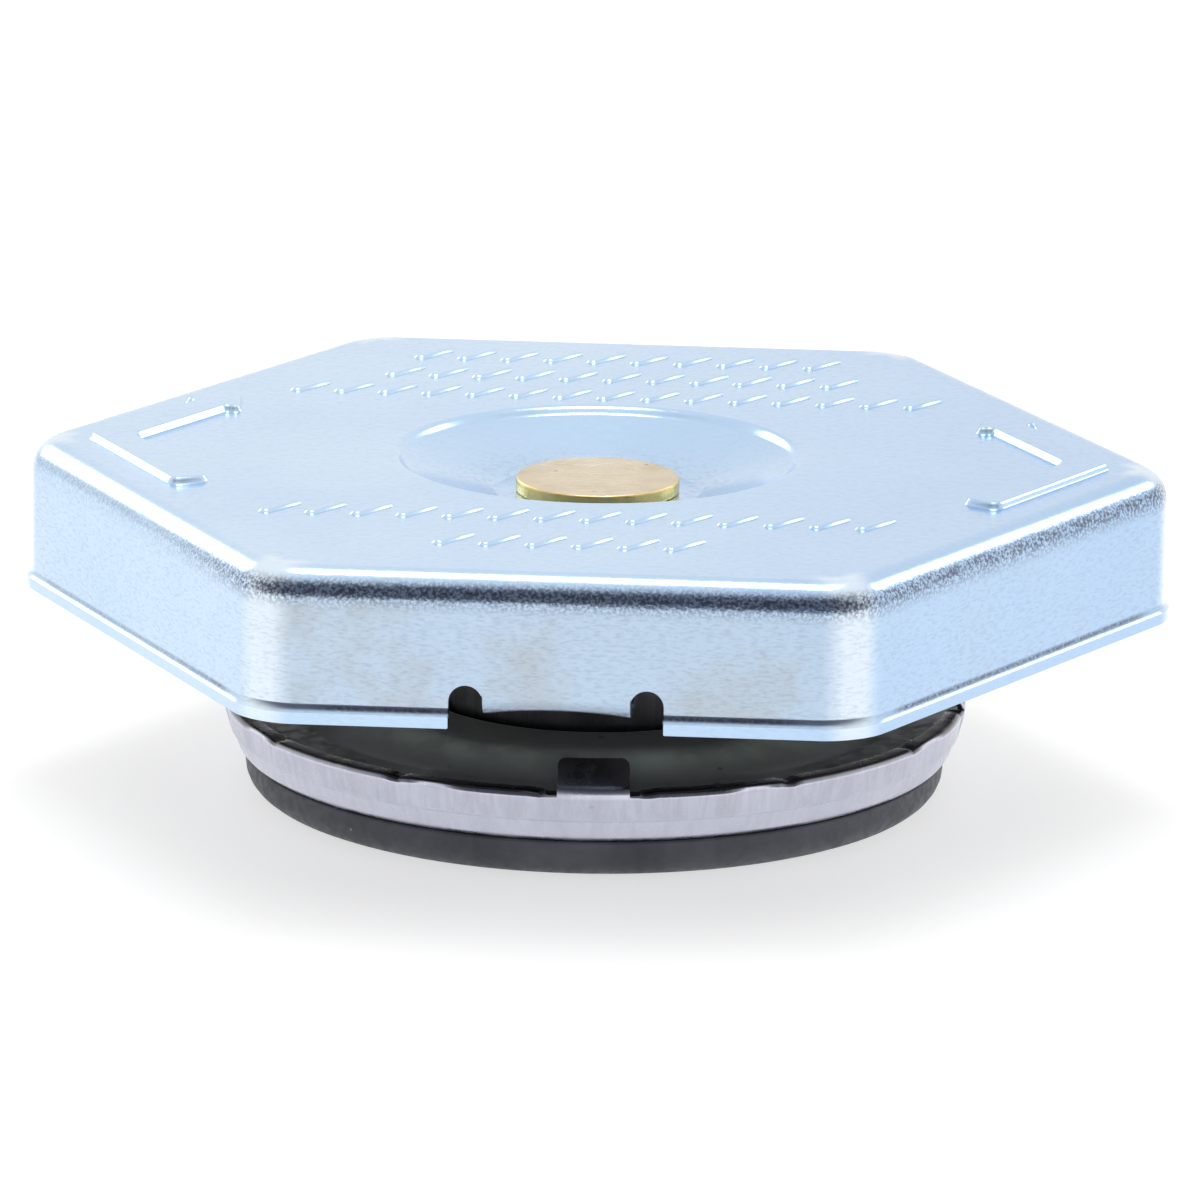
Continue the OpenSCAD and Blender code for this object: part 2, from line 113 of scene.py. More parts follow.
class Bench:
    """Hand tools for one piece at a time, all of them Blender's own operators."""

    @staticmethod
    def take(piece: Piece) -> None:
        """Select one object alone and make it the active one."""
        bpy.ops.object.select_all(action="DESELECT")
        piece.select_set(True)
        bpy.context.view_layer.objects.active = piece

    @staticmethod
    def begin(name: str, primitive: Callable[..., Any], **settings: Any) -> Piece:
        """Add a primitive and put its place into its mesh.

        Args:
            name: Name of the new piece.
            primitive: Operator that adds it.
            settings: The operator's own settings.

        Returns:
            The new object, alone in the selection.
        """
        bpy.ops.object.select_all(action="DESELECT")
        primitive(**settings)
        piece = bpy.context.object
        piece.name = name
        piece.data.name = name
        bpy.ops.object.transform_apply(location=True, rotation=True, scale=True)
        return piece

    @staticmethod
    @contextmanager
    def editing(piece: Piece) -> Iterator[None]:
        """Keep one piece in edit mode for the length of a with block."""
        Bench.take(piece)
        bpy.ops.object.mode_set(mode="EDIT")
        try:
            yield
        finally:
            bpy.ops.object.mode_set(mode="OBJECT")

    @staticmethod
    def pick(kind: Pick, test: Callable[[Any], bool]) -> None:
        """Select, in edit mode, only the elements that pass a test.

        Args:
            kind: Whether vertices, edges or faces are tested.
            test: Says whether an element is wanted.
        """
        bpy.ops.mesh.select_mode(type=kind.value)
        bpy.ops.mesh.select_all(action="DESELECT")
        data = bpy.context.object.data
        mesh = bmesh.from_edit_mesh(data)
        elements = {Pick.VERTS: mesh.verts, Pick.EDGES: mesh.edges, Pick.FACES: mesh.faces}[kind]
        mesh.normal_update()
        for element in [element for element in elements if test(element)]:
            element.select_set(True)
        mesh.select_flush_mode()
        bmesh.update_edit_mesh(data)

    @staticmethod
    def everything() -> None:
        """Select the whole mesh in edit mode."""
        bpy.ops.mesh.select_mode(type="VERT")
        bpy.ops.mesh.select_all(action="SELECT")

    @staticmethod
    def bisect(test: Callable[[Any], bool], point: Vector, normal: Vector) -> None:
        """Draw a line across the faces that pass a test, where a plane meets them."""
        Bench.pick(Pick.FACES, test)
        bpy.ops.mesh.bisect(plane_co=point, plane_no=normal, threshold=TINY)

    @staticmethod
    def nudge(test: Callable[[Vector], bool], move: Callable[[Vector], Vector]) -> None:
        """Move vertices in edit mode, each to the place that a rule gives it.

        Args:
            test: Says whether a vertex at a place is moved.
            move: Gives the new place for an old one.
        """
        data = bpy.context.object.data
        mesh = bmesh.from_edit_mesh(data)
        for vert in mesh.verts:
            if test(vert.co):
                vert.co = move(vert.co)
        bmesh.update_edit_mesh(data)

    @staticmethod
    def extrude(move: Sequence[float]) -> None:
        """Extrude, in edit mode, what is selected and move it."""
        bpy.ops.mesh.extrude_region_move(TRANSFORM_OT_translate={"value": move})

    @staticmethod
    def weld(recalculate: bool = True) -> None:
        """Merge doubled vertices in edit mode and point the faces outwards."""
        Bench.everything()
        bpy.ops.mesh.remove_doubles(threshold=TINY)
        if recalculate:
            bpy.ops.mesh.normals_make_consistent(inside=False)

    @staticmethod
    def modify(piece: Piece, kind: str, **settings: Any) -> None:
        """Add a modifier to a piece, set it and apply it."""
        Bench.take(piece)
        modifier = piece.modifiers.new(kind.lower(), kind)
        for key, value in settings.items():
            setattr(modifier, key, value)
        bpy.ops.object.modifier_apply(modifier=modifier.name)

    @staticmethod
    def combine(piece: Piece, tool: Piece, how: Combine) -> None:
        """Work a solid into a piece and remove the solid."""
        Bench.modify(piece, "BOOLEAN", object=tool, operation=how.value, solver="EXACT")
        bpy.data.objects.remove(tool)

    @staticmethod
    def copy(piece: Piece, turn: float) -> Piece:
        """Copy a piece with a mesh of its own.

        Args:
            piece: What is copied.
            turn: Angle that the copy is turned round the Z axis.

        Returns:
            The copy, with its place in its mesh.
        """
        Bench.take(piece)
        bpy.ops.object.duplicate(linked=False)
        twin = bpy.context.object
        twin.rotation_euler.z = turn
        bpy.ops.object.transform_apply(location=True, rotation=True, scale=True)
        return twin

    @staticmethod
    def join(pieces: Sequence[Piece]) -> Piece:
        """Join pieces into the first of them."""
        Bench.take(pieces[0])
        for piece in pieces:
            piece.select_set(True)
        bpy.ops.object.join()
        return pieces[0]

    @staticmethod
    def smooth(piece: Piece, angle: float) -> None:
        """Shade a piece smooth up to an angle in degrees, with flat faces kept flat."""
        Bench.take(piece)
        bpy.ops.object.shade_smooth_by_angle(angle=math.radians(angle))
        Bench.modify(piece, "WEIGHTED_NORMAL", keep_sharp=True, weight=70)


def rounded(corners: Sequence[Corner], closed: bool = False, steps: int = 6) -> Outline:
    """Round the corners of a line.

    Args:
        corners: The two coordinates and the bend radius of each corner.
        closed: Whether the last corner runs on to the first.
        steps: Straight stretches in each bend.

    Returns:
        The line's points in order.
    """
    places = [Vector(corner[:2]) for corner in corners]
    count = len(places)
    sides = [places[(index + 1) % count] - place for index, place in enumerate(places)]
    halves = [sides[index].angle(-sides[index - 1]) / 2 for index in range(count)]
    reaches = [corner[2] / math.tan(half) for corner, half in zip(corners, halves)]
    if not closed:
        reaches[0] = reaches[-1] = 0.0
    points: Outline = []
    for index, corner in enumerate(places):
        wanted = reaches[index]
        if wanted <= TINY:
            points.append(corner)
            continue
        before, after = -sides[index - 1], sides[index]
        following = reaches[(index + 1) % count]
        room = (before.length / (reaches[index - 1] + wanted), after.length / (wanted + following))
        reach = wanted * min(1.0, *room)
        before.normalize()
        after = after.normalized()
        centre = corner + (before + after).normalized() * reach / math.cos(halves[index])
        start = corner + before * reach - centre
        stop = corner + after * reach - centre
        sweep = math.atan2(start.cross(stop), start.dot(stop))
        points += [centre + Matrix.Rotation(sweep * k / steps, 2) @ start for k in range(steps + 1)]
    return points


def sheet(path: Outline, thickness: float, edge: float) -> Outline:
    """Give a bent line the thickness of a metal sheet.

    Args:
        path: Middle line of the sheet.
        thickness: Thickness of the sheet.
        edge: Radius that the cut edges are eased to.

    Returns:
        The sheet's closed outline.
    """
    last = len(path) - 1
    upper: list[Corner] = []
    lower: list[Corner] = []
    for index, point in enumerate(path):
        along = (path[min(index + 1, last)] - path[max(index - 1, 0)]).normalized()
        out = Vector((-along.y, along.x)) * thickness / 2
        ease = edge if index in (0, last) else 0.0
        upper.append((*(point + out), ease))
        lower.append((*(point - out), ease))
    return rounded(upper + lower[::-1], closed=True, steps=3)


def wire(name: str, points: Sequence[Vector], closed: bool) -> Piece:
    """Draw a line of edges by extruding one vertex from point to point.

    Args:
        name: Name of the new piece.
        points: Points of the line.
        closed: Whether the line is closed.

    Returns:
        The new object.
    """
    piece = Bench.begin(name, bpy.ops.mesh.primitive_plane_add, size=MM, location=points[0])
    with Bench.editing(piece):
        Bench.everything()
        bpy.ops.mesh.merge(type="CENTER")
        for here, there in zip(points, points[1:]):
            Bench.extrude(there - here)
        if closed:
            Bench.pick(Pick.VERTS, lambda vert: len(vert.link_edges) == 1)
            bpy.ops.mesh.edge_face_add()
    return piece


def spun(name: str, outline: Outline, closed: bool = True, steps: int = 144) -> Piece:
    """Spin an outline round the Z axis.

    Args:
        name: Name of the new piece.
        outline: Radius and height of each point.
        closed: Whether the outline is a loop; an open one starts and ends on the axis.
        steps: Faces round the axis.

    Returns:
        The new object, welded and facing outwards.
    """
    piece = wire(name, [Vector((point.x, 0, point.y)) for point in outline], closed)
    with Bench.editing(piece):
        Bench.everything()
        bpy.ops.mesh.spin(steps=steps, angle=FULL_TURN, center=(0, 0, 0), axis=(0, 0, 1))
        Bench.weld()
    return piece


def ring(name: str, outer: float, inner: float, low: float, high: float, edge: float) -> Piece:
    """Make a flat washer with eased edges.

    Args:
        name: Name of the new piece.
        outer: Outer radius.
        inner: Radius of the hole.
        low: Height of the underside.
        high: Height of the upper side.
        edge: Radius of the edges.

    Returns:
        The new object.
    """
    corners = [(inner, low, edge), (outer, low, edge), (outer, high, edge), (inner, high, edge)]
    return spun(name, rounded(corners, closed=True, steps=4))


def coil(name: str, radius: float, gauge: float, turns: float, low: float, high: float) -> Piece:
    """Wind a compression spring with one closed turn at each end.

    Args:
        name: Name of the new piece.
        radius: Radius of the wire's middle line.
        gauge: Diameter of the wire.
        turns: Number of turns.
        low: Height of the spring's foot.
        high: Height of the spring's top.

    Returns:
        The spring as a mesh.
    """
    per_turn = 40
    closed = gauge * 1.04
    room = high - low - gauge
    pitch = (room - 2 * closed) / (turns - 2)
    curve = bpy.data.curves.new(name, "CURVE")
    curve.dimensions = "3D"
    curve.bevel_depth = gauge / 2
    curve.bevel_resolution = 4
    curve.use_fill_caps = True
    line = curve.splines.new("POLY")
    count = round(turns * per_turn)
    line.points.add(count)
    for index in range(count + 1):
        turn = index / per_turn
        if turn < 1:
            rise = turn * closed
        elif turn > turns - 1:
            rise = room - (turns - turn) * closed
        else:
            rise = closed + (turn - 1) * pitch
        angle = FULL_TURN * turn
        height = low + gauge / 2 + rise
        line.points[index].co = (radius * math.cos(angle), radius * math.sin(angle), height, 1)
    spring = bpy.data.objects.new(name, curve)
    bpy.context.collection.objects.link(spring)
    Bench.take(spring)
    bpy.ops.object.convert(target="MESH")
    spring = bpy.context.object
    with Bench.editing(spring):
        Bench.weld()
    return spring


class NodeBoard:
    """A node tree with short calls that add nodes and join sockets."""

    def __init__(self, tree: bpy.types.NodeTree) -> None:
        """Keep the tree that the calls work on."""
        self.tree = tree

    def feed(self, socket: Socket, value: Any) -> None:
        """Link a socket to another, or set it to a value."""
        if isinstance(value, Socket):
            self.tree.links.new(value, socket)
        elif socket.type == "RGBA":
            socket.default_value = (*value, 1.0)
        else:
            socket.default_value = value

    def add(self, kind: str, inputs: dict[Any, Any] | None = None, **settings: Any) -> bpy.types.Node:
        """Add a shader node.

        Args:
            kind: The node's type after ShaderNode.
            inputs: Values or sockets for its inputs, by name or index.
            settings: The node's own properties.

        Returns:
            The node.
        """
        node = self.tree.nodes.new("ShaderNode" + kind)
        for key, value in settings.items():
            setattr(node, key, value)
        for key, value in (inputs or {}).items():
            self.feed(node.inputs[key], value)
        return node

    def math(self, operation: str, *values: Any) -> Socket:
        """Work out one sum on values or sockets."""
        return self.add("Math", dict(enumerate(values)), operation=operation).outputs[0]

    def grade(self, value: Any, low: Any, high: Any, start: float = 0.0, stop: float = 1.0) -> Socket:
        """Carry a value from one range softly into another."""
        inputs = {"Value": value, "From Min": low, "From Max": high, "To Min": start, "To Max": stop}
        return self.add("MapRange", inputs, interpolation_type="SMOOTHSTEP").outputs["Result"]

    def times(self, first: Any, second: Any) -> Socket:
        """Multiply two values or sockets."""
        return self.math("MULTIPLY", first, second)

    def between(self, share: Any, start: float, stop: float) -> Socket:
        """Carry a share from 0 to 1 softly into another range."""
        return self.grade(share, 0.0, 1.0, start, stop)

    def band(self, value: Any, low: float, middle: float, high: float) -> Socket:
        """Mask a soft band of a value round its middle."""
        return self.times(self.grade(value, low, middle), self.grade(value, high, middle))

    def axes(self, vector: Socket) -> Any:
        """Give a vector's separate coordinates, by name."""
        return self.add("SeparateXYZ", {0: vector}).outputs

    def facing(self) -> Any:
        """Give the separate coordinates of the way that the surface faces."""
        return self.axes(self.add("TexCoord").outputs["Normal"])

    def radius(self, place: Socket) -> Socket:
        """Measure how far a place lies from the Z axis."""
        flat = self.add("VectorMath", {0: place, 1: (1.0, 1.0, 0.0)}, operation="MULTIPLY").outputs[0]
        return self.add("VectorMath", {0: flat}, operation="LENGTH").outputs["Value"]

    def mix(self, share: Any, first: Any, second: Any) -> Socket:
        """Mix two colours by a share of the second."""
        return self.add("Mix", {0: share, 6: first, 7: second}, data_type="RGBA").outputs[2]

    def bump(self, height: Any, distance: float, strength: Any = 1.0, normal: Any = None) -> Socket:
        """Raise a surface by a height field."""
        inputs = {"Height": height, "Distance": distance, "Strength": strength}
        if normal is not None:
            inputs["Normal"] = normal
        return self.add("Bump", inputs).outputs["Normal"]

    def effect(self, kind: Effect, **inputs: Any) -> bpy.types.Node:
        """Place a shared effect with its own values."""
        node = self.add("Group", node_tree=shared_effect(kind))
        for key, value in inputs.items():
            self.feed(node.inputs[key.capitalize()], value)
        return node


EFFECT_INPUTS = {
    Effect.MOTTLE: ("Scale", "Low", "High"),
    Effect.SPECKS: ("Scale", "Size", "Share"),
    Effect.STREAKS: ("Low", "High"),
}


def shared_effect(kind: Effect) -> bpy.types.NodeTree:
    """Build a shared effect as a node group the first time it is asked for.

    Args:
        kind: Which effect.

    Returns:
        The node group, with a Mask output and, where the effect has relief, a Height output.
    """
    if kind.value in bpy.data.node_groups:
        return bpy.data.node_groups[kind.value]
    tree = bpy.data.node_groups.new(kind.value, "ShaderNodeTree")
    tree.interface.new_socket("Vector", in_out="INPUT", socket_type="NodeSocketVector")
    if kind is Effect.STREAKS:
        tree.interface.new_socket("Stretch", in_out="INPUT", socket_type="NodeSocketVector")
    for name in EFFECT_INPUTS[kind]:
        tree.interface.new_socket(name, in_out="INPUT", socket_type="NodeSocketFloat")
    for name in ("Mask", "Height"):
        tree.interface.new_socket(name, in_out="OUTPUT", socket_type="NodeSocketFloat")
    board = NodeBoard(tree)
    source = tree.nodes.new("NodeGroupInput").outputs
    target = tree.nodes.new("NodeGroupOutput").inputs
    if kind is Effect.SPECKS:
        cells = board.add("TexVoronoi", {"Vector": source["Vector"], "Scale": source["Scale"]})
        spot = board.grade(cells.outputs["Distance"], source["Size"], 0.0)
        draw = board.add("SeparateColor", {0: cells.outputs["Color"]}).outputs[0]
        mask = board.times(spot, board.math("LESS_THAN", draw, source["Share"]))
        height = mask
    else:
        vector, scale = source["Vector"], 1.0
        if kind is Effect.STREAKS:
            stretched = {0: source["Vector"], 1: source["Stretch"]}
            vector = board.add("VectorMath", stretched, operation="MULTIPLY").outputs[0]
        else:
            scale = source["Scale"]
        grain = board.add("TexNoise", {"Vector": vector, "Scale": scale, "Detail": 4.0, "Roughness": 0.6})
        height = grain.outputs["Fac"]
        mask = board.grade(height, source["Low"], source["High"])
    board.feed(target["Mask"], mask)
    board.feed(target["Height"], height)
    return tree


@dataclass(frozen=True)
class Finish:
    """What every finish has: the record's slot, a base colour and the shader's plain values."""

    slot: str
    base: Colour
    metallic: float = 1.0
    roughness: float = 0.35

    def material(self) -> bpy.types.Material:
        """Build the finish as a material."""
        made = bpy.data.materials.new(self.slot + "_finish")
        made.use_nodes = True
        made.diffuse_color = (*self.base, 1.0)
        board = NodeBoard(made.node_tree)
        shader = made.node_tree.nodes["Principled BSDF"]
        board.feed(shader.inputs["Base Color"], self.base)
        shader.inputs["Metallic"].default_value = self.metallic
        shader.inputs["Roughness"].default_value = self.roughness
        place = board.add("TexCoord").outputs["Object"]
        self.paint(board, place, shader.inputs)
        return made

    def paint(self, board: NodeBoard, place: Socket, shader: Any) -> None:
        """Feed the shader's inputs with what changes over the surface."""
        raise NotImplementedError

    def roughen(self, board: NodeBoard, shader: Any, share: Socket, less: float, more: float) -> None:
        """Vary the roughness by a share, from a little under its plain value to a little over it.

        Args:
            board: Where the nodes are added.
            shader: The shader's inputs.
            share: Goes from 0 to 1 over the surface.
            less: How far under the plain value the roughness starts.
            more: How far over the plain value it ends.
        """
        rough = board.between(share, self.roughness - less, self.roughness + more)
        board.feed(shader["Roughness"], rough)


@dataclass(frozen=True)
class ZincPlate(Finish):
    """Bright zinc on drawn sheet: pale blue, pebbled on the top bend, with painted highlights on the corners
    and painted shade on one side, in the crease and inside.
    """

    cloud: Colour = (0.57, 0.73, 0.91)
    # Painted shade colour for the +X side.
    side_shade: Colour = (0.37, 0.54, 0.78)
    # Dark colour for specks and grain, and for the painted shade and dark reflection on the bend and the
    # crease.
    speck_and_shade: Colour = (0.13, 0.15, 0.21)
    straw: Colour = (0.45, 0.495, 0.53)
    # Painted highlight colour for the corners.
    corner_highlight: Colour = (0.80, 0.89, 0.97)
    # Painted shade colour for the cover's inner faces.
    inside: Colour = (0.24, 0.25, 0.27)
    bend_top: float = 25.6 * MM
    bend_low: float = 23.6 * MM
    crease: float = 15.75 * MM
    apothem: float = 38.1 * MM
    roof: float = 20.0 * MM
    roof_weight: float = 12.0

    def hexagon(self, board: NodeBoard, axes: Any) -> tuple[Any, Any, Any]:
        """Measure how near the hexagon's flats a point lies.

        Args:
            board: Where the nodes are added.
            axes: The point's separated coordinates.

        Returns:
            The distances out towards the ear flats, the nearest flats and the next nearest.
        """
        near = [board.math("ABSOLUTE", axes["Y"])]
        for side in (-1, 1):
            slant = board.times(axes["X"], math.cos(HEX_HALF))
            rise = board.times(axes["Y"], side * math.sin(HEX_HALF))
            near.append(board.math("ABSOLUTE", board.math("ADD", slant, rise)))
        most = board.math("MAXIMUM", near[0], board.math("MAXIMUM", near[1], near[2]))
        least = board.math("MINIMUM", near[0], board.math("MINIMUM", near[1], near[2]))
        total = board.math("ADD", near[0], board.math("ADD", near[1], near[2]))
        return near[0], most, board.math("SUBTRACT", board.math("SUBTRACT", total, most), least)

    def inner_shade_mask(self, board: NodeBoard, axes: Any) -> Socket:
        """Mask the faces that look in towards the axis or down from the top, which take the painted inside
        shade.
        """
        facing = board.facing()
        above = board.math("MAXIMUM", board.math("SUBTRACT", axes["Z"], self.roof), 0.0)
        outward = board.times(board.times(facing["Z"], above), self.roof_weight)
        for axis in "XY":
            outward = board.math("ADD", outward, board.times(facing[axis], axes[axis]))
        return board.grade(outward, -1.0 * MM, -6.0 * MM)

    def paint(self, board: NodeBoard, place: Socket, shader: Any) -> None:
        """Cloud the plate, paint shade on its +X side, in its crease and inside, paint a highlight on its
        corners, pebble its bends partly as a painted dark reflection and grain it along the draw.
        """
        axes = board.axes(place)
        height = axes["Z"]
        front, most, second = self.hexagon(board, axes)
        outer = board.grade(most, self.apothem - 3.6 * MM, self.apothem - 2.4 * MM)
        corner = board.times(outer, board.grade(board.math("SUBTRACT", most, second), 2.6 * MM, 0.6 * MM))
        clouds = board.effect(Effect.MOTTLE, vector=place, scale=50.0, low=0.30, high=0.70)
        colour = board.mix(clouds.outputs["Mask"], self.base, self.cloud)
        # Painted shade: the plate is mixed towards a deeper blue towards +X.
        side = board.grade(axes["X"], -25 * MM, 44 * MM, 0.0, 0.55)
        colour = board.mix(side, colour, self.side_shade)
        low_skirt = board.times(board.grade(height, self.bend_low + 0.9 * MM, self.bend_low - 0.4 * MM),
                                board.grade(height, self.crease - 0.4 * MM, self.crease + 0.3 * MM))
        ear_flat = board.grade(front, self.apothem - 2.0 * MM, self.apothem - 0.4 * MM, 0.15, 1.0)
        tint = board.effect(Effect.MOTTLE, vector=place, scale=110.0, low=0.36, high=0.74)
        tinted = board.times(board.times(low_skirt, ear_flat),
                             board.between(tint.outputs["Mask"], 0.35, 0.85))
        colour = board.mix(tinted, colour, self.straw)
        # Painted highlight: the rounded corners are mixed towards a near-white blue.
        colour = board.mix(board.times(corner, 0.75), colour, self.corner_highlight)
        grain = board.effect(
            Effect.STREAKS, vector=place, stretch=(1500.0, 1500.0, 5200.0), low=0.44, high=0.68
        )
        grained = board.times(grain.outputs["Mask"], board.between(low_skirt, 0.05, 0.16))
        colour = board.mix(grained, colour, self.speck_and_shade)
        # The top bend's pebbling: real pebbled plating, darkened partly as a painted reflection of the dark
        # camera side, weaker towards -X.
        bend = board.times(outer, board.band(
            height, self.bend_low - 0.8 * MM, (self.bend_top + self.bend_low) / 2, self.bend_top))
        patches = board.effect(Effect.MOTTLE, vector=place, scale=260.0, low=0.16, high=0.48)
        bend_pebbling_and_reflection = board.times(bend, patches.outputs["Mask"])
        bend_pebbling_and_reflection = board.times(bend_pebbling_and_reflection, board.grade(axes["X"], -32 * MM, -21 * MM, 0.3, 1.0))
        pebbles = board.effect(Effect.MOTTLE, vector=place, scale=4200.0, low=0.40, high=0.58)
        pebbled = board.times(bend_pebbling_and_reflection, pebbles.outputs["Mask"])
        colour = board.mix(board.times(pebbled, 0.95), colour, self.speck_and_shade)
        # Painted shade: a speckled dark line along the crease above the flared lip, weaker towards -X.
        flat = board.times(board.grade(board.math("SUBTRACT", most, second), 3.0 * MM, 5.5 * MM),
                           board.grade(axes["X"], -32 * MM, -21 * MM, 0.45, 1.0))
        crease = board.times(flat, board.band(
            height, self.crease - 0.28 * MM, self.crease, self.crease + 0.34 * MM))
        crease_shade = board.times(crease, board.grade(pebbles.outputs["Height"], 0.34, 0.60, 0.35, 0.9))
        colour = board.mix(crease_shade, colour, self.speck_and_shade)
        dots = board.effect(Effect.SPECKS, vector=place, scale=300.0, size=0.035, share=0.16)
        colour = board.mix(board.times(dots.outputs["Mask"], 0.7), colour, self.speck_and_shade)
        # Painted shade: faces that look inwards take the dark inside colour.
        board.feed(shader["Base Color"], board.mix(self.inner_shade_mask(board, axes), colour, self.inside))
        rough = board.grade(grain.outputs["Height"], 0.3, 0.7, self.roughness - 0.04, self.roughness + 0.06)
        board.feed(shader["Roughness"], rough)
        wavy = board.bump(clouds.outputs["Height"], 0.10 * MM, 0.5)
        drawn = board.bump(grain.outputs["Height"], 0.006 * MM, 0.6, wavy)
        board.feed(shader["Normal"], board.bump(pebbles.outputs["Height"], 0.03 * MM, bend_pebbling_and_reflection, drawn))


@dataclass(frozen=True)
class Brass(Finish):
    """Rolled brass with dull clouds and dark spots."""

    wear_and_highlight: Colour = (0.70, 0.58, 0.40)
    dull: Colour = (0.52, 0.42, 0.28)
    spot: Colour = (0.07, 0.05, 0.035)
    spots: float = 0.10

    def paint(self, board: NodeBoard, place: Socket, shader: Any) -> None:
        """Cloud the brass, wear its upper faces paler, spot it and scratch it lightly."""
        facing = board.facing()["Z"]
        colour = board.mix(board.grade(facing, 0.6, 0.95), self.base, self.wear_and_highlight)
        clouds = board.effect(Effect.MOTTLE, vector=place, scale=420.0, low=0.40, high=0.75)
        colour = board.mix(board.times(clouds.outputs["Mask"], 0.5), colour, self.dull)
        dots = board.effect(Effect.SPECKS, vector=place, scale=900.0, size=0.24, share=self.spots)
        colour = board.mix(board.times(dots.outputs["Mask"], 0.8), colour, self.spot)
        board.feed(shader["Base Color"], colour)
        rolled = board.effect(Effect.STREAKS, vector=place, stretch=(300.0, 4500.0, 900.0), low=0.3, high=0.7)
        self.roughen(board, shader, rolled.outputs["Mask"], 0.06, 0.08)
        grain = board.bump(rolled.outputs["Height"], 0.02 * MM, 0.7)
        board.feed(shader["Normal"], board.bump(clouds.outputs["Height"], 0.06 * MM, 0.6, grain))


@dataclass(frozen=True)
class DrawnSheet(Finish):
    """Plain drawn sheet or wire, with streaks along the draw and grey clouds."""

    shade: Colour = (0.30, 0.30, 0.32)
    streak: tuple[float, float, float] = (1600.0, 1600.0, 70.0)
    streak_share: float = 0.35
    cloud_scale: float = 240.0
    cloud_share: float = 0.4
    relief: float = 0.03 * MM

    def paint(self, board: NodeBoard, place: Socket, shader: Any) -> None:
        """Streak and cloud the sheet, with a few dark specks."""
        clouds = board.effect(Effect.MOTTLE, vector=place, scale=self.cloud_scale, low=0.38, high=0.66)
        share = board.times(clouds.outputs["Mask"], self.cloud_share)
        colour = board.mix(share, self.base, self.shade)
        lines = board.effect(Effect.STREAKS, vector=place, stretch=self.streak, low=0.40, high=0.68)
        share = board.times(lines.outputs["Mask"], self.streak_share)
        colour = board.mix(share, colour, self.shade)
        dots = board.effect(Effect.SPECKS, vector=place, scale=520.0, size=0.20, share=0.035)
        colour = board.mix(board.times(dots.outputs["Mask"], 0.7), colour, (0.05, 0.04, 0.04))
        board.feed(shader["Base Color"], colour)
        self.roughen(board, shader, clouds.outputs["Mask"], 0.05, 0.08)
        drawn = board.bump(lines.outputs["Height"], self.relief, 0.8)
        board.feed(shader["Normal"], board.bump(clouds.outputs["Height"], self.relief, 0.5, drawn))


@dataclass(frozen=True)
class CrimpedSheet(DrawnSheet):
    """Drawn sheet whose crimped rim and tabs carry a painted dark reflection on their upper faces."""

    dark_reflection: Colour = (0.15, 0.14, 0.145)
    reach: float = 25.0 * MM
    collar: float = 4.9 * MM

    def paint(self, board: NodeBoard, place: Socket, shader: Any) -> None:
        """Streak the sheet, darken its collar with marks and painted shade, and paint a dark reflection on
        what faces up beyond a radius.
        """
        super().paint(board, place, shader)
        height = board.axes(place)["Z"]
        marks = board.effect(
            Effect.STREAKS, vector=place, stretch=(1500.0, 1500.0, 60.0), low=0.35, high=0.65
        )
        # The collar above the step: streak marks, darkened further as painted shade.
        collar_marks_and_shade = board.times(board.grade(height, self.collar - 0.1 * MM, self.collar + 0.15 * MM),
                             board.between(marks.outputs["Mask"], 0.12, 0.42))
        colour = board.mix(collar_marks_and_shade, shader["Base Color"].links[0].from_socket, self.shade)
        # Painted dark reflection on faces that look up beyond the reach radius: the rim top and the tabs.
        facing = board.facing()["Z"]
        radius = board.radius(place)
        share = board.times(board.grade(facing, 0.12, 0.5), board.math("GREATER_THAN", radius, self.reach))
        board.feed(shader["Base Color"], board.mix(share, colour, self.dark_reflection))


@dataclass(frozen=True)
class DarkPlate(Finish):
    """Glossy green-black plate with a painted paler green highlight on its shoulder and a painted highlight
    at its hole.
    """

    # Painted highlight colour for the shoulder.
    wear_and_highlight: Colour = (0.46, 0.54, 0.50)
    hole_edge_highlight: Colour = (0.62, 0.63, 0.62)
    hole: float = 13.5 * MM
    shoulder: tuple[float, float, float] = (17.0 * MM, 20.0 * MM, 22.6 * MM)

    def paint(self, board: NodeBoard, place: Socket, shader: Any) -> None:
        """Paint a paler green highlight on the shoulder in patches, a pale highlight at the hole's edge, and
        pit the plate.
        """
        radius = board.radius(place)
        clouds = board.effect(Effect.MOTTLE, vector=place, scale=130.0, low=0.36, high=0.66)
        patches = board.between(clouds.outputs["Mask"], 0.25, 1.0)
        # Painted highlight: a paler green band on the shoulder, in patches.
        wear_and_highlight = board.times(board.band(radius, *self.shoulder), patches)
        colour = board.mix(wear_and_highlight, self.base, self.wear_and_highlight)
        # Painted highlight on the thin edge round the hole.
        colour = board.mix(board.grade(radius, self.hole + 0.5 * MM, self.hole + 0.2 * MM), colour, self.hole_edge_highlight)
        dots = board.effect(Effect.SPECKS, vector=place, scale=650.0, size=0.26, share=0.06)
        colour = board.mix(dots.outputs["Mask"], colour, (0.006, 0.012, 0.01))
        board.feed(shader["Base Color"], colour)
        fine = board.effect(Effect.MOTTLE, vector=place, scale=900.0, low=0.3, high=0.7)
        self.roughen(board, shader, fine.outputs["Mask"], 0.06, 0.08)
        pits = board.bump(dots.outputs["Mask"], -0.03 * MM, 0.6)
        board.feed(shader["Normal"], board.bump(fine.outputs["Height"], 0.012 * MM, 0.6, pits))


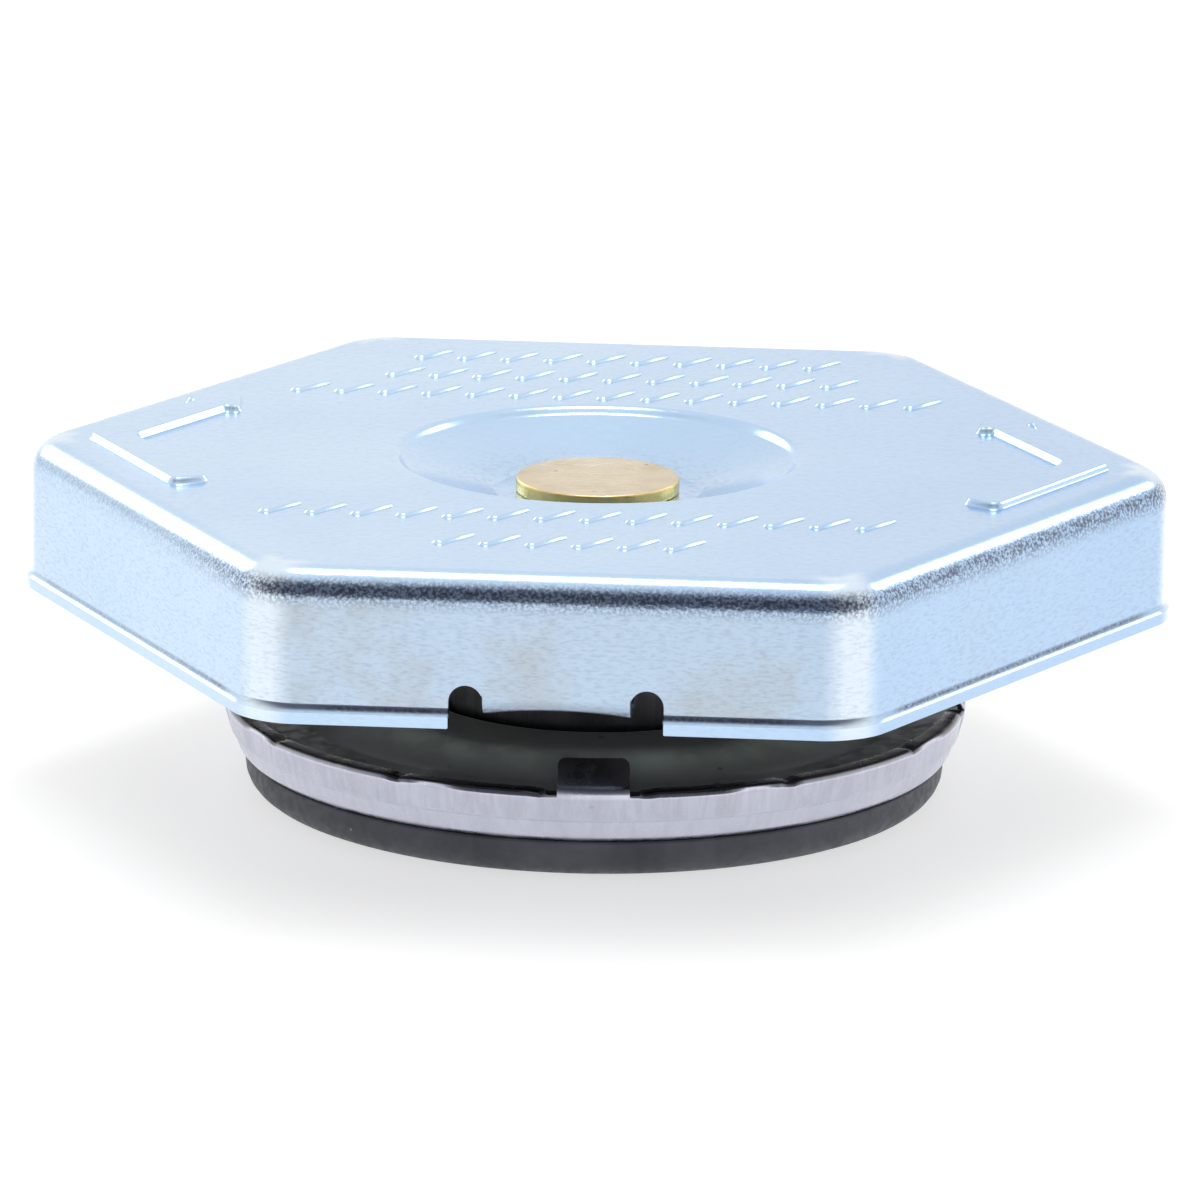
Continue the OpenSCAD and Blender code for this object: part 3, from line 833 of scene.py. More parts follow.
@dataclass(frozen=True)
class SealRubber(Finish):
    """Moulded rubber with bloom and a scatter of pale dust."""

    bloom: Colour = (0.07, 0.074, 0.088)
    dust: Colour = (0.62, 0.62, 0.64)

    def paint(self, board: NodeBoard, place: Socket, shader: Any) -> None:
        """Bloom the rubber and dust it."""
        clouds = board.effect(Effect.MOTTLE, vector=place, scale=120.0, low=0.35, high=0.70)
        colour = board.mix(clouds.outputs["Mask"], self.base, self.bloom)
        dots = board.effect(Effect.SPECKS, vector=place, scale=420.0, size=0.085, share=0.55)
        colour = board.mix(dots.outputs["Mask"], colour, self.dust)
        board.feed(shader["Base Color"], colour)
        fine = board.effect(Effect.MOTTLE, vector=place, scale=1400.0, low=0.3, high=0.7)
        self.roughen(board, shader, fine.outputs["Mask"], 0.08, 0.10)
        board.feed(shader["Normal"], board.bump(fine.outputs["Height"], 0.02 * MM, 0.7))


FINISHES = {
    finish.slot: finish
    for finish in (
        ZincPlate("zinc_plate", (0.52, 0.685, 0.885), roughness=0.18),
        Brass("rivet_brass", (0.80, 0.62, 0.22), roughness=0.32),
        # Painted shade: the diaphragm's and the bell's sheets get dark base colours for the shade inside the
        # cover.
        DrawnSheet("spring_sheet", (0.17, 0.17, 0.175), roughness=0.36, shade=(0.10, 0.10, 0.11)),
        DrawnSheet("bell_steel", (0.12, 0.122, 0.125), roughness=0.40, shade=(0.06, 0.06, 0.065),
                   cloud_scale=420.0),
        DrawnSheet("spring_wire", (0.38, 0.38, 0.40), roughness=0.32),
        CrimpedSheet("tin_plate", (0.70, 0.72, 0.83), roughness=0.28, shade=(0.50, 0.51, 0.59),
                     streak_share=0.22, cloud_share=0.15),
        # Painted light: the dish's base is much paler than its green-black paint, to lift it in the shade
        # under the cover.
        DarkPlate("dark_plate", (0.27, 0.29, 0.28), metallic=0.0, roughness=0.18),
        SealRubber("seal_rubber", (0.034, 0.038, 0.048), metallic=0.0, roughness=0.50),
        Brass("valve_brass", (0.74, 0.58, 0.30), roughness=0.30, spots=0.03),
    )
}


@cache
def finish_material(slot: str) -> bpy.types.Material:
    """Build a finish's material the first time that a piece needs it."""
    return FINISHES[slot].material()


def fit(piece: Piece, node: str, body: Body, angle: float = 32.0) -> None:
    """Give a finished piece its shading, its material and its body, and hide the node that it stands for.

    Args:
        piece: The finished mesh.
        node: Node of the frame that it replaces.
        body: Body that it rides on.
        angle: Angle in degrees up to which its faces are shaded as one.
    """
    Bench.smooth(piece, angle)
    subparts = frame["record"]["subparts"]
    slot = next(part["material_slot"] for part in subparts if part["node"] == node)
    piece.data.materials.clear()
    piece.data.materials.append(finish_material(slot))
    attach(piece, body.value)
    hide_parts(node)
    LOG.info("%s replaces %s on %s: %d faces", piece.name, node, body.value, len(piece.data.polygons))


@dataclass
class CoverAssembly:
    """The hexagonal cover and what its rivet holds up against it."""

    sheet: float = 1.0 * MM
    corner_radius: float = 5.2 * MM
    top_bend: float = 2.2 * MM
    lip_height: float = 0.9 * MM
    lip_flare: float = 0.35 * MM
    lip_blend: float = 0.7 * MM
    recess_radius: float = 15.3 * MM
    recess_margin: float = 3.0 * MM
    step_radius: float = 9.1 * MM
    step_depth: float = 2.42 * MM
    seat_radius: float = 7.8 * MM
    seat_depth: float = 2.9 * MM
    recess_bend: float = 0.85 * MM
    rim_drop: float = 0.55 * MM
    seat_bend: float = 0.8 * MM
    ear_width: float = 10.8 * MM
    ear_reach: float = 6.4 * MM
    ear_rise: float = 0.8 * MM
    ear_bend: float = 1.7 * MM
    ear_bow: float = 0.35 * MM
    slot_width: float = 2.4 * MM
    slot_height: float = 3.2 * MM
    slot_margin: float = 0.5 * MM
    cut_edge: float = 0.13 * MM
    arrow_height: float = 0.45 * MM
    arrow_width: float = 3.5 * MM
    arrow_edge: float = 4.3 * MM
    arrow_tail: float = 16.3 * MM
    arrow_shaft: float = 13.3 * MM
    arrow_head: float = 4.5 * MM
    arrow_barb: float = 1.5 * MM
    arrow_slope: float = 0.45 * MM
    rib_width: float = 1.3 * MM
    rib_length: float = 4.6 * MM
    rib_pitch: float = 3.4 * MM
    rib_height: float = 0.2 * MM
    rib_slope: float = 0.36 * MM
    rib_slant: float = math.radians(35)
    rib_rows: tuple[tuple[float, int], ...] = (
        (31.0 * MM, 10), (24.9 * MM, 11), (18.9 * MM, 15), (-19.4 * MM, 14), (-27.2 * MM, 6)
    )
    rivet_radius: float = 3.0 * MM
    rivet_head: float = 1.1 * MM
    tail_radius: float = 4.4 * MM
    tail_height: float = 1.2 * MM
    diaphragm_sheet: float = 0.5 * MM
    diaphragm_hub: float = 9.5 * MM
    diaphragm_rim: float = 5.0 * MM

    def __post_init__(self) -> None:
        """Take the cover's places from the frame."""
        low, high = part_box("cover")
        self.lip_z = low.z
        self.top_z = high.z - self.arrow_height
        self.apothem = high.y - self.lip_flare

    def build(self) -> None:
        """Build and fit the cover, the rivet, its washer and the diaphragm."""
        fit(self.cover(), "cover", Body.COVER)
        fit(self.rivet(), "rivet", Body.COVER)
        low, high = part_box("rivet_washer")
        washer = ring("tail_washer", high.x, self.rivet_radius, low.z, high.z, 0.12 * MM)
        fit(washer, "rivet_washer", Body.COVER)
        fit(self.diaphragm(), "seal_diaphragm", Body.COVER)

    def cover(self) -> Piece:
        """Draw, cut, thicken and emboss the cover."""
        piece = self.blank()
        self.open_recess(piece)
        self.flare_lip(piece)
        self.bend_ears(piece)
        Bench.modify(piece, "SOLIDIFY", thickness=self.sheet, offset=-1.0, use_even_offset=True)
        edges = {
            "width": self.cut_edge, "segments": 2, "limit_method": "ANGLE", "angle_limit": math.radians(55),
        }
        Bench.modify(piece, "BEVEL", use_clamp_overlap=False, **edges)
        # The eased edge keeps within the lip's flats where a slot ends on it
        reach = self.apothem + self.lip_flare
        with Bench.editing(piece):
            Bench.nudge(lambda place: abs(place.y) > reach,
                        lambda place: Vector((place.x, math.copysign(reach, place.y), place.z)))
        Bench.combine(piece, self.arrows(), Combine.UNION)
        Bench.combine(piece, self.ribs(), Combine.UNION)
        return piece

    def blank(self) -> Piece:
        """Make the bare hexagonal shell, open below, with its corners and top bend rounded."""
        height = self.top_z - self.lip_z
        piece = Bench.begin(
            "pressed_cover", bpy.ops.mesh.primitive_cylinder_add, vertices=6, depth=height,
            radius=self.apothem / math.cos(HEX_HALF), location=(0, 0, self.lip_z + height / 2),
            rotation=(0, 0, QUARTER_TURN),
        )
        with Bench.editing(piece):
            Bench.pick(Pick.EDGES, lambda edge: abs(edge.verts[0].co.z - edge.verts[1].co.z) > height / 2)
            bpy.ops.mesh.bevel(offset=self.corner_radius * math.tan(HEX_HALF), segments=14, affect="EDGES")
            Bench.pick(Pick.FACES, lambda face: face.normal.z < -0.9)
            bpy.ops.mesh.delete(type="ONLY_FACE")
            Bench.pick(Pick.EDGES, lambda edge: min(vert.co.z for vert in edge.verts) > self.top_z - TINY)
            bpy.ops.mesh.bevel(offset=self.top_bend, segments=8, affect="EDGES")
        return piece

    def open_recess(self, piece: Piece) -> None:
        """Replace the flat top with one that sinks in rings to the rivet's hole."""
        line = rounded([
            (self.recess_radius + self.recess_margin, 0, 0), (self.recess_radius, 0, self.recess_bend),
            (self.recess_radius - self.rim_drop, -self.rim_drop, self.recess_bend),
            (self.step_radius, -self.step_depth, self.seat_bend),
            (self.seat_radius, -self.seat_depth, self.seat_bend), (self.rivet_radius, -self.seat_depth, 0),
        ])
        with Bench.editing(piece):
            Bench.pick(Pick.FACES, lambda face: face.calc_center_median().z > self.top_z - TINY)
            bpy.ops.mesh.delete(type="ONLY_FACE")
            bpy.ops.mesh.primitive_circle_add(vertices=144, radius=line[0].x, location=(0, 0, self.top_z))
            Bench.pick(Pick.EDGES, lambda edge: min(vert.co.z for vert in edge.verts) > self.top_z - TINY)
            bpy.ops.mesh.fill(use_beauty=True)
            Bench.pick(Pick.VERTS, lambda vert: vert.co.xy.length < line[0].x + TINY)
            for here, there in zip(line, line[1:]):
                Bench.extrude((0, 0, there.y - here.y))
                grow = there.x / here.x
                bpy.ops.transform.resize(value=(grow, grow, 1), center_override=(0, 0, 0))
            Bench.weld()

    def flare_lip(self, piece: Piece) -> None:
        """Step the skirt's lower band out, softly above and sharply below."""
        steps = 6
        foot = self.lip_z + self.lip_height
        with Bench.editing(piece):
            for step in range(steps + 1):
                level = Vector((0, 0, foot + self.lip_blend * step / steps))
                Bench.bisect(lambda face: True, level, Vector((0, 0, 1)))
            ceiling = foot + self.lip_blend

            def flared(place: Vector) -> Vector:
                """Move a point of the skirt out by its share of the flare."""
                share = min(1.0, (ceiling - place.z) / self.lip_blend) ** 2
                grow = 1 + self.lip_flare * share / self.apothem
                return Vector((place.x * grow, place.y * grow, place.z))

            Bench.nudge(lambda place: place.z < ceiling - TINY, flared)

    def bend_ears(self, piece: Piece) -> None:
        """Cut the slots in the front and back flats and bend the tongue between them inwards."""
        half = self.ear_width / 2
        spring_line = self.lip_z + self.slot_height - self.slot_width / 2
        bend_line = self.lip_z + self.ear_rise + self.ear_bend
        slot_middle = half + self.slot_width / 2
        flat_top = self.top_z - self.top_bend - TINY

        def column(face: bmesh.types.BMFace, near: float, far: float) -> bool:
            """Say whether a face lies on the front or back flat, between two distances from its middle."""
            middle = face.calc_center_median()
            return abs(face.normal.y) > 0.6 and middle.z < flat_top and near < abs(middle.x) < far

        def tongue(face: bmesh.types.BMFace) -> bool:
            """Say whether a face lies between the slots."""
            return column(face, -1, half)

        def slots(face: bmesh.types.BMFace) -> bool:
            """Say whether a face lies where a slot goes."""
            return column(face, half, half + self.slot_width)

        sideways, upwards = Vector((1, 0, 0)), Vector((0, 0, 1))
        with Bench.editing(piece):
            for across in (-half - self.slot_width, -half, half, half + self.slot_width):
                Bench.bisect(lambda face: column(face, -1, self.apothem / 2), across * sideways, sideways)
            for step in range(-3, 4):
                Bench.bisect(tongue, half * step / 4 * sideways, sideways)
            Bench.bisect(tongue, bend_line * upwards, upwards)
            for cut in (spring_line, self.lip_z + self.slot_height + self.slot_margin):
                Bench.bisect(slots, cut * upwards, upwards)
            Bench.pick(Pick.FACES, lambda face: slots(face) and face.calc_center_median().z < spring_line
                       or tongue(face) and face.calc_center_median().z < bend_line)
            bpy.ops.mesh.delete(type="FACE")
            self.round_slots(spring_line, slot_middle, bend_line)
            for side in (-1, 1):
                self.bend_ear(side, bend_line)
            Bench.weld(recalculate=False)

    def round_slots(self, spring_line: float, slot_middle: float, bend_line: float) -> None:
        """Raise the upper edge of each slot, in edit mode, to a half circle.

        Args:
            spring_line: Height at which the half circle starts.
            slot_middle: Distance of a slot's middle line from the ear's.
            bend_line: Height at which the ear's bend starts, the lowest place on the ear's side.
        """
        radius = self.slot_width / 2
        rise = self.lip_z + self.slot_height - spring_line

        def on_slot(place: Vector) -> bool:
            """Say whether a point lies on the straight upper edge of a slot."""
            return abs(abs(place.x) - slot_middle) < radius + TINY and abs(place.z - spring_line) < TINY

        Bench.pick(Pick.EDGES, lambda edge: all(on_slot(vert.co) for vert in edge.verts))
        bpy.ops.mesh.subdivide(number_cuts=13)

        def arched(place: Vector) -> Vector:
            """Carry a point of the straight edge to the half round."""
            angle = QUARTER_TURN * (1 - (abs(place.x) - slot_middle) / radius)
            across = slot_middle + radius * math.cos(angle)
            height = spring_line + rise * math.sin(angle)
            if across < slot_middle:
                height = max(height, bend_line)
            return Vector((math.copysign(across, place.x), place.y, height))

        Bench.nudge(on_slot, arched)

    def bend_ear(self, side: int, bend_line: float) -> None:
        """Extrude one tongue, in edit mode, round its bend and in towards the axis.

        Args:
            side: Which flat the ear is on, -1 for the one that faces -Y.
            bend_line: Height at which the bend starts.
        """
        wall = side * self.apothem

        def root(vert: bmesh.types.BMVert) -> bool:
            """Say whether a vertex lies on the edge that the tongue grows from."""
            off = max(abs(vert.co.z - bend_line), abs(vert.co.y - wall))
            return off < TINY and abs(vert.co.x) < self.ear_width / 2 + TINY

        Bench.pick(Pick.VERTS, root)
        steps = 8
        line = [Vector((0, 0))]
        for step in range(1, steps + 1):
            angle = QUARTER_TURN * step / steps
            line.append(Vector((self.ear_bend * (1 - math.cos(angle)), -self.ear_bend * math.sin(angle))))
        line.append(Vector((self.ear_reach, -self.ear_bend)))
        for here, there in zip(line, line[1:]):
            Bench.extrude((0, -side * (there.x - here.x), there.y - here.y))

        def bowed(place: Vector) -> Vector:
            """Arch the ear's underside between its two ends."""
            across = place.x / (self.ear_width / 2)
            down = min(1.0, max(0.0, (bend_line - place.z) / self.ear_bend))
            return place + Vector((0, 0, self.ear_bow * (1 - across ** 2) * down))

        Bench.nudge(lambda place: place.y * side > 0 and abs(place.x) < self.ear_width / 2 + TINY
                    and place.z < bend_line - TINY, bowed)

    def emboss(self, piece: Piece, height: float, slope: float) -> None:
        """Raise a flat face out of the top, as a closed solid with soft shoulders.

        Args:
            piece: A single flat face that lies inside the sheet.
            height: Height of the plateau above the top face.
            slope: Width of the sloped side.
        """
        buried = 0.06 * MM
        sections = (
            (0.3, buried + 0.16 * height), (0.25, 0.42 * height), (0.25, 0.32 * height), (0.2, 0.10 * height),
        )
        with Bench.editing(piece):
            Bench.everything()
            Bench.extrude((0, 0, self.sheet / 2 - buried))
            Bench.weld()
            for width, step in sections:
                Bench.pick(Pick.FACES, self.highest())
                bpy.ops.mesh.inset(thickness=width * slope, depth=step)
            Bench.weld()

    def highest(self) -> Callable[[Any], bool]:
        """Give a test for the level face that lies highest in the mesh being edited."""
        mesh = bmesh.from_edit_mesh(bpy.context.object.data)
        ceiling = max(vert.co.z for vert in mesh.verts)
        return lambda face: min(vert.co.z for vert in face.verts) > ceiling - TINY

    def arrows(self) -> Piece:
        """Make the two raised arrows that bend round the corners on +X and -X."""
        out = self.apothem - self.arrow_edge
        inner = out - self.arrow_width
        tangent = math.tan(HEX_HALF)

        def on_flat(side: int, away: float, along: float, bend: float) -> Corner:
            """Place a corner by its distance from the centre and its way along a flat."""
            across = away * math.cos(HEX_HALF) - along * math.sin(HEX_HALF)
            return across, side * (away * math.sin(HEX_HALF) + along * math.cos(HEX_HALF)), bend

        tail = self.arrow_tail - out * tangent
        neck = self.arrow_shaft - out * tangent
        soft, tip, notch = 1.0 * MM, 0.6 * MM, 0.2 * MM
        outline = rounded([
            on_flat(-1, out, -out * tangent, soft), on_flat(1, out, neck, notch),
            on_flat(1, out + self.arrow_barb, neck, tip),
            on_flat(1, (out + inner) / 2, neck + self.arrow_head, tip),
            on_flat(1, inner - self.arrow_barb, neck, tip), on_flat(1, inner, neck, notch),
            on_flat(1, inner, -inner * tangent, soft), on_flat(-1, inner, tail, soft),
            on_flat(-1, out, tail, soft),
        ], closed=True, steps=4)
        level = self.top_z - self.sheet / 2
        arrow = wire("raised_arrow", [Vector((point.x, point.y, level)) for point in outline], closed=True)
        with Bench.editing(arrow):
            Bench.everything()
            bpy.ops.mesh.edge_face_add()
        self.emboss(arrow, self.arrow_height, self.arrow_slope)
        Bench.modify(arrow, "MIRROR", use_axis=(True, False, False), use_mirror_merge=False)
        with Bench.editing(arrow):
            Bench.weld()
        return arrow

    def ribs(self) -> Piece:
        """Make the rows of slanted raised ribs on the top, one rib copied along each row."""
        way = Vector((math.sin(self.rib_slant), math.cos(self.rib_slant), 0))
        slant = way * (self.rib_length - self.rib_width) / 2
        lines = []
        for along, count in self.rib_rows:
            first = Vector((-self.rib_pitch * (count - 1) / 2, along, self.top_z - self.sheet / 2))
            line = Bench.begin(
                "raised_ribs", bpy.ops.mesh.primitive_circle_add, vertices=16, radius=self.rib_width / 2,
                fill_type="NGON", location=first,
            )

            def drawn_out(place: Vector, middle: Vector = first) -> Vector:
                """Move a point of the round out towards the rib's nearer end."""
                return place + math.copysign(1, slant.dot(place - middle)) * slant

            with Bench.editing(line):
                Bench.nudge(lambda place: True, drawn_out)
            self.emboss(line, self.rib_height, self.rib_slope)
            spread = {"count": count, "use_relative_offset": False, "use_constant_offset": True}
            Bench.modify(line, "ARRAY", constant_offset_displace=(self.rib_pitch, 0, 0), **spread)
            lines.append(line)
        return Bench.join(lines)

    def rivet(self) -> Piece:
        """Turn the rivet, with a worn head and a peened tail."""
        low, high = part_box("rivet")
        head_z = high.z - self.rivet_head
        tail_z = low.z + self.tail_height
        line = rounded([
            (0, low.z, 0), (self.tail_radius, low.z, 0.6 * MM), (self.tail_radius, tail_z, 0.25 * MM),
            (self.rivet_radius, tail_z, 0), (self.rivet_radius, head_z, 0), (high.x, head_z, 0.2 * MM),
            (high.x, high.z, 0.22 * MM), (high.x - 0.9 * MM, high.z - 0.03 * MM, 0.2 * MM),
            (0, high.z - 0.05 * MM, 0),
        ])
        piece = spun("peened_rivet", line, closed=False)

        def wear_and_highlight(place: Vector) -> Vector:
            """Roughen the head's rim a little."""
            shift = noise.noise(place * 900) * 0.05 * MM
            return place + Vector((place.x, place.y, 0)).normalized() * shift

        with Bench.editing(piece):
            Bench.nudge(lambda place: place.z > head_z and place.xy.length > high.x - 0.5 * MM, wear_and_highlight)
        return piece

    def diaphragm(self) -> Piece:
        """Press the thin spring disc that seals on top of the neck."""
        low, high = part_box("seal_diaphragm")
        hub = high.z - self.diaphragm_sheet / 2
        rim = low.z + self.diaphragm_sheet / 2
        path = rounded([
            (self.rivet_radius, hub, 0), (self.diaphragm_hub, hub, 6 * MM),
            (high.x - self.diaphragm_rim, rim, 6 * MM), (high.x, rim, 0),
        ])
        return spun("spring_diaphragm", sheet(path, self.diaphragm_sheet, 0.12 * MM))


@dataclass
class BellAssembly:
    """The bell that hangs on the rivet and the pressure spring inside it."""

    sheet: float = 0.8 * MM
    bend: float = 2.0 * MM
    flange: float = 3.0 * MM
    rivet_hole: float = 3.06 * MM
    wire: float = 1.8 * MM
    turns: float = 6.0
    lift: float = 2.2 * MM

    def build(self) -> None:
        """Build and fit the bell and the pressure spring."""
        low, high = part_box("bell")
        wall = high.x - self.flange - self.sheet / 2
        crown = high.z - self.sheet / 2
        foot = low.z + self.sheet / 2
        path = rounded([
            (self.rivet_hole, crown, 0), (wall, crown, self.bend - self.sheet / 2),
            (wall, foot, 0.8 * MM), (high.x, foot, 0),
        ])
        bell = spun("drawn_bell", sheet(path, self.sheet, 0.15 * MM))
        fit(bell, "bell", Body.BELL)
        low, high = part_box("pressure_spring")
        spring = coil("coiled_pressure_spring", high.x - self.wire / 2, self.wire, self.turns, low.z, high.z)
        fit(spring, "pressure_spring", Body.BELL, angle=60)
        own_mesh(spring)


@dataclass
class PressureValve:
    """The crimped cup, its retainer and its gasket, with the vacuum valve's spring."""

    sheet: float = 0.7 * MM
    wall_lean: float = math.radians(20)
    collar_lean: float = math.radians(17)
    collar_step: float = 0.2 * MM
    rim: float = 1.3 * MM
    fillet: float = 1.4 * MM
    tabs: int = 4
    tab_width: float = 5.4 * MM
    tab_length: float = 3.2 * MM
    tab_tilt: float = math.radians(42)
    tab_relief: float = 0.9 * MM
    tab_bend: float = 1.2 * MM
    tab_corner: float = 0.8 * MM
    tab_edge: float = 0.06 * MM
    tab_setback: float = 0.06 * MM
    gap_depth: float = 0.3 * MM
    gap_corner: float = 0.28 * MM
    crimp_reach: float = 15.5 * MM
    crimp_depth: float = 0.15 * MM
    crimp_drop: float = 0.04 * MM
    notch_depth: float = 0.12 * MM
    notch_drop: float = 0.22 * MM
    notch_reach: float = 0.8 * MM
    dent_depth: float = 0.28 * MM
    dent_place: float = 3.0 * MM
    dent_reach: float = 2.6 * MM
    ripple_depth: float = 0.03 * MM
    turn: float = math.radians(4.2 - 90)
    plateau: float = 8.6 * MM
    plateau_rise: float = 0.8 * MM
    vent: float = 3.4 * MM
    flare: float = 6.0 * MM
    flare_sheet: float = 0.5 * MM
    dish_sheet: float = 0.9 * MM
    dish_hole: float = 13.5 * MM
    shoulder_top: float = 19.2 * MM
    shoulder_foot: float = 22.9 * MM
    shoulder_bend: float = 5.0 * MM
    drain: float = 0.7 * MM
    gasket_edge: float = 2.0 * MM
    hollow: float = 9.9 * MM
    web: float = 1.0 * MM
    vacuum_wire: float = 0.5 * MM
    vacuum_turns: float = 3.5
    drop: float = 1.5 * MM

    def __post_init__(self) -> None:
        """Take the valve's places from the frame."""
        self.floor_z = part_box("gasket")[1].z - self.plateau_rise
        self.brim_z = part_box("retainer_dish")[0].z
        self.brim_top = self.brim_z + self.dish_sheet
        self.rim_z = self.brim_top + self.sheet
        self.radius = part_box("valve_cup")[1].x
        self.flare_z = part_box("valve_cup")[0].z
        self.rim_inner = self.radius - self.rim
        self.neck = self.vent + self.sheet
        self.plateau_foot = self.plateau + self.plateau_rise
        self.step_z = self.brim_z - self.sheet
        self.collar_foot = self.radius - (self.brim_top - self.step_z) * math.tan(self.collar_lean)

    def build(self) -> None:
        """Build and fit the cup, the dish, the gasket, its washer and the vacuum spring."""
        fit(self.cup(), "valve_cup", Body.PRESSURE_VALVE)
        fit(self.dish(), "retainer_dish", Body.PRESSURE_VALVE)
        fit(self.gasket(), "gasket", Body.PRESSURE_VALVE)
        low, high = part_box("gasket_washer")
        washer = ring("holding_washer", high.x, self.neck + 0.06 * MM, low.z, high.z, 0.15 * MM)
        fit(washer, "gasket_washer", Body.PRESSURE_VALVE)
        low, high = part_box("vacuum_spring")
        radius = high.x - self.vacuum_wire / 2
        spring = coil("coiled_vacuum_spring", radius, self.vacuum_wire, self.vacuum_turns, low.z, high.z)
        fit(spring, "vacuum_spring", Body.PRESSURE_VALVE, angle=60)
        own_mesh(spring)

    def cup_outline(self) -> Outline:
        """Give the cup's section, from the flare under the vent out to the rim and back."""
        thick, easy = self.sheet, 0.12 * MM
        top = self.floor_z + thick
        plateau_z = self.floor_z + self.plateau_rise
        wall_top = self.collar_foot - self.collar_step
        wall_foot = wall_top - (self.step_z - self.collar_step - self.floor_z) * math.tan(self.wall_lean)
        brim_seat = self.radius - thick - self.dish_sheet * math.tan(self.collar_lean)
        return rounded([
            (self.flare, self.flare_z, easy), (self.vent, self.flare_z, 0.45 * MM),
            (self.vent, plateau_z + thick, 0.45 * MM), (self.plateau, plateau_z + thick, 0.4 * MM),
            (self.plateau_foot, top, 0.4 * MM), (wall_foot - thick, top, self.fillet - thick),
            (wall_top - thick, self.brim_z, 0), (brim_seat, self.brim_z, 0),
            (self.radius - thick, self.brim_top, 0), (self.rim_inner, self.brim_top, easy),
            (self.rim_inner, self.rim_z, easy), (self.radius - 0.15 * MM, self.rim_z, 0.3 * MM),
            (self.radius, self.brim_top + 0.2 * MM, 0.4 * MM), (self.collar_foot, self.step_z, 0.25 * MM),
            (wall_top, self.step_z - self.collar_step, 0.35 * MM), (wall_foot, self.floor_z, self.fillet),
            (self.plateau_foot, self.floor_z, 0.4 * MM), (self.plateau, plateau_z, 0.4 * MM),
            (self.neck, plateau_z, 0), (self.neck, self.flare_z + self.flare_sheet, 0),
            (self.flare, self.flare_z + self.flare_sheet, easy),
        ], closed=True, steps=5)

    def cup(self) -> Piece:
        """Draw the cup, crimp its rim and fold its tabs in over the retainer."""
        piece = spun("crimped_cup", self.cup_outline(), steps=360)
        with Bench.editing(piece):
            Bench.nudge(lambda place: place.xy.length > self.rim_inner - TINY and place.z > self.step_z,
                        self.crimped)
        width = self.tab_width + 2 * self.tab_relief
        gap_z = self.rim_z - self.gap_depth
        gap = Bench.begin(
            "tab_gap", bpy.ops.mesh.primitive_cube_add, size=1, scale=(4 * self.rim, width, 2 * self.sheet),
            location=(self.radius - self.rim / 2, 0, gap_z + self.sheet),
        )
        with Bench.editing(gap):
            Bench.pick(Pick.EDGES, lambda edge: max(vert.co.z for vert in edge.verts) < self.rim_z
                       and abs(edge.verts[0].co.x - edge.verts[1].co.x) > self.rim)
            bpy.ops.mesh.bevel(offset=self.gap_corner, segments=4, affect="EDGES")
        self.work_round(piece, gap, self.turn, Combine.DIFFERENCE)
        self.work_round(piece, self.tab(), self.turn, Combine.UNION)
        return piece

    def work_round(self, piece: Piece, solid: Piece, start: float, how: Combine) -> None:
        """Work copies of a solid into a piece, as many as there are tabs, and remove the solid.

        Args:
            piece: What the copies are worked into.
            solid: What is copied round the Z axis.
            start: Angle of the first copy.
            how: Whether the copies are added or cut.
        """
        copies = [Bench.copy(solid, start + FULL_TURN * k / self.tabs) for k in range(self.tabs)]
        bpy.data.objects.remove(solid)
        Bench.combine(piece, Bench.join(copies), how)

    def crimped(self, place: Vector) -> Vector:
        """Press a point of the collar and rim in, harder between a tab and the notch on either side of it."""
        angle = math.atan2(place.y, place.x) - self.turn
        sector = FULL_TURN / self.tabs
        away = abs((angle + sector / 2) % sector - sector / 2) * self.radius
        height = min(1.0, (place.z - self.step_z) / (self.rim_z - self.step_z))
        outward = Vector((place.x, place.y, 0)).normalized()

        def bump(middle: float, reach: float) -> float:
            """Give a soft bump along the rim, by the distance from a tab's middle."""
            return max(0.0, 1 - ((away - middle) / reach) ** 2) ** 2

        near, far = self.tab_width / 2 + self.tab_relief, self.crimp_reach
        hard = 1.0 if near < away < far else 0.0
        notch = bump(far, self.notch_reach) + 0.6 * bump(near + 0.5 * MM, 0.7 * MM)
        dent = bump(far - self.dent_place, self.dent_reach) * math.sin(math.pi * height)
        ripple = self.ripple_depth * (noise.noise(outward * 24) + 0.5 * noise.noise(outward * 55))
        inwards = (self.crimp_depth * hard + self.notch_depth * notch + ripple) * height
        inwards += self.dent_depth * dent
        down = (self.notch_drop * notch + self.crimp_drop * hard + ripple) * height ** 3
        return place - outward * inwards - Vector((0, 0, down))

    def tab(self) -> Piece:
        """Fold one crimp tab on +X from a strip that follows the collar, with rounded corners."""
        foot = self.brim_top - self.sheet / 2
        lean = math.tan(self.collar_lean)
        face = self.radius - (self.brim_top - foot) * lean - self.tab_setback
        rise = self.sheet / 2
        half = self.tab_width / 2
        piece = Bench.begin(
            "crimp_tab", bpy.ops.mesh.primitive_plane_add, size=self.tab_width, rotation=(0, QUARTER_TURN, 0),
            location=(face, 0, foot),
        )

        def stood(place: Vector) -> Vector:
            """Keep a point on the strip's foot, or set it where the bend starts."""
            share = rise if place.z > foot else 0.0
            return Vector((face + share * lean, place.y, foot + share))

        def wrapped(place: Vector) -> Vector:
            """Lay a point of the flat strip round the collar."""
            return place - Vector((self.radius - math.sqrt(self.radius ** 2 - place.y ** 2), 0, 0))

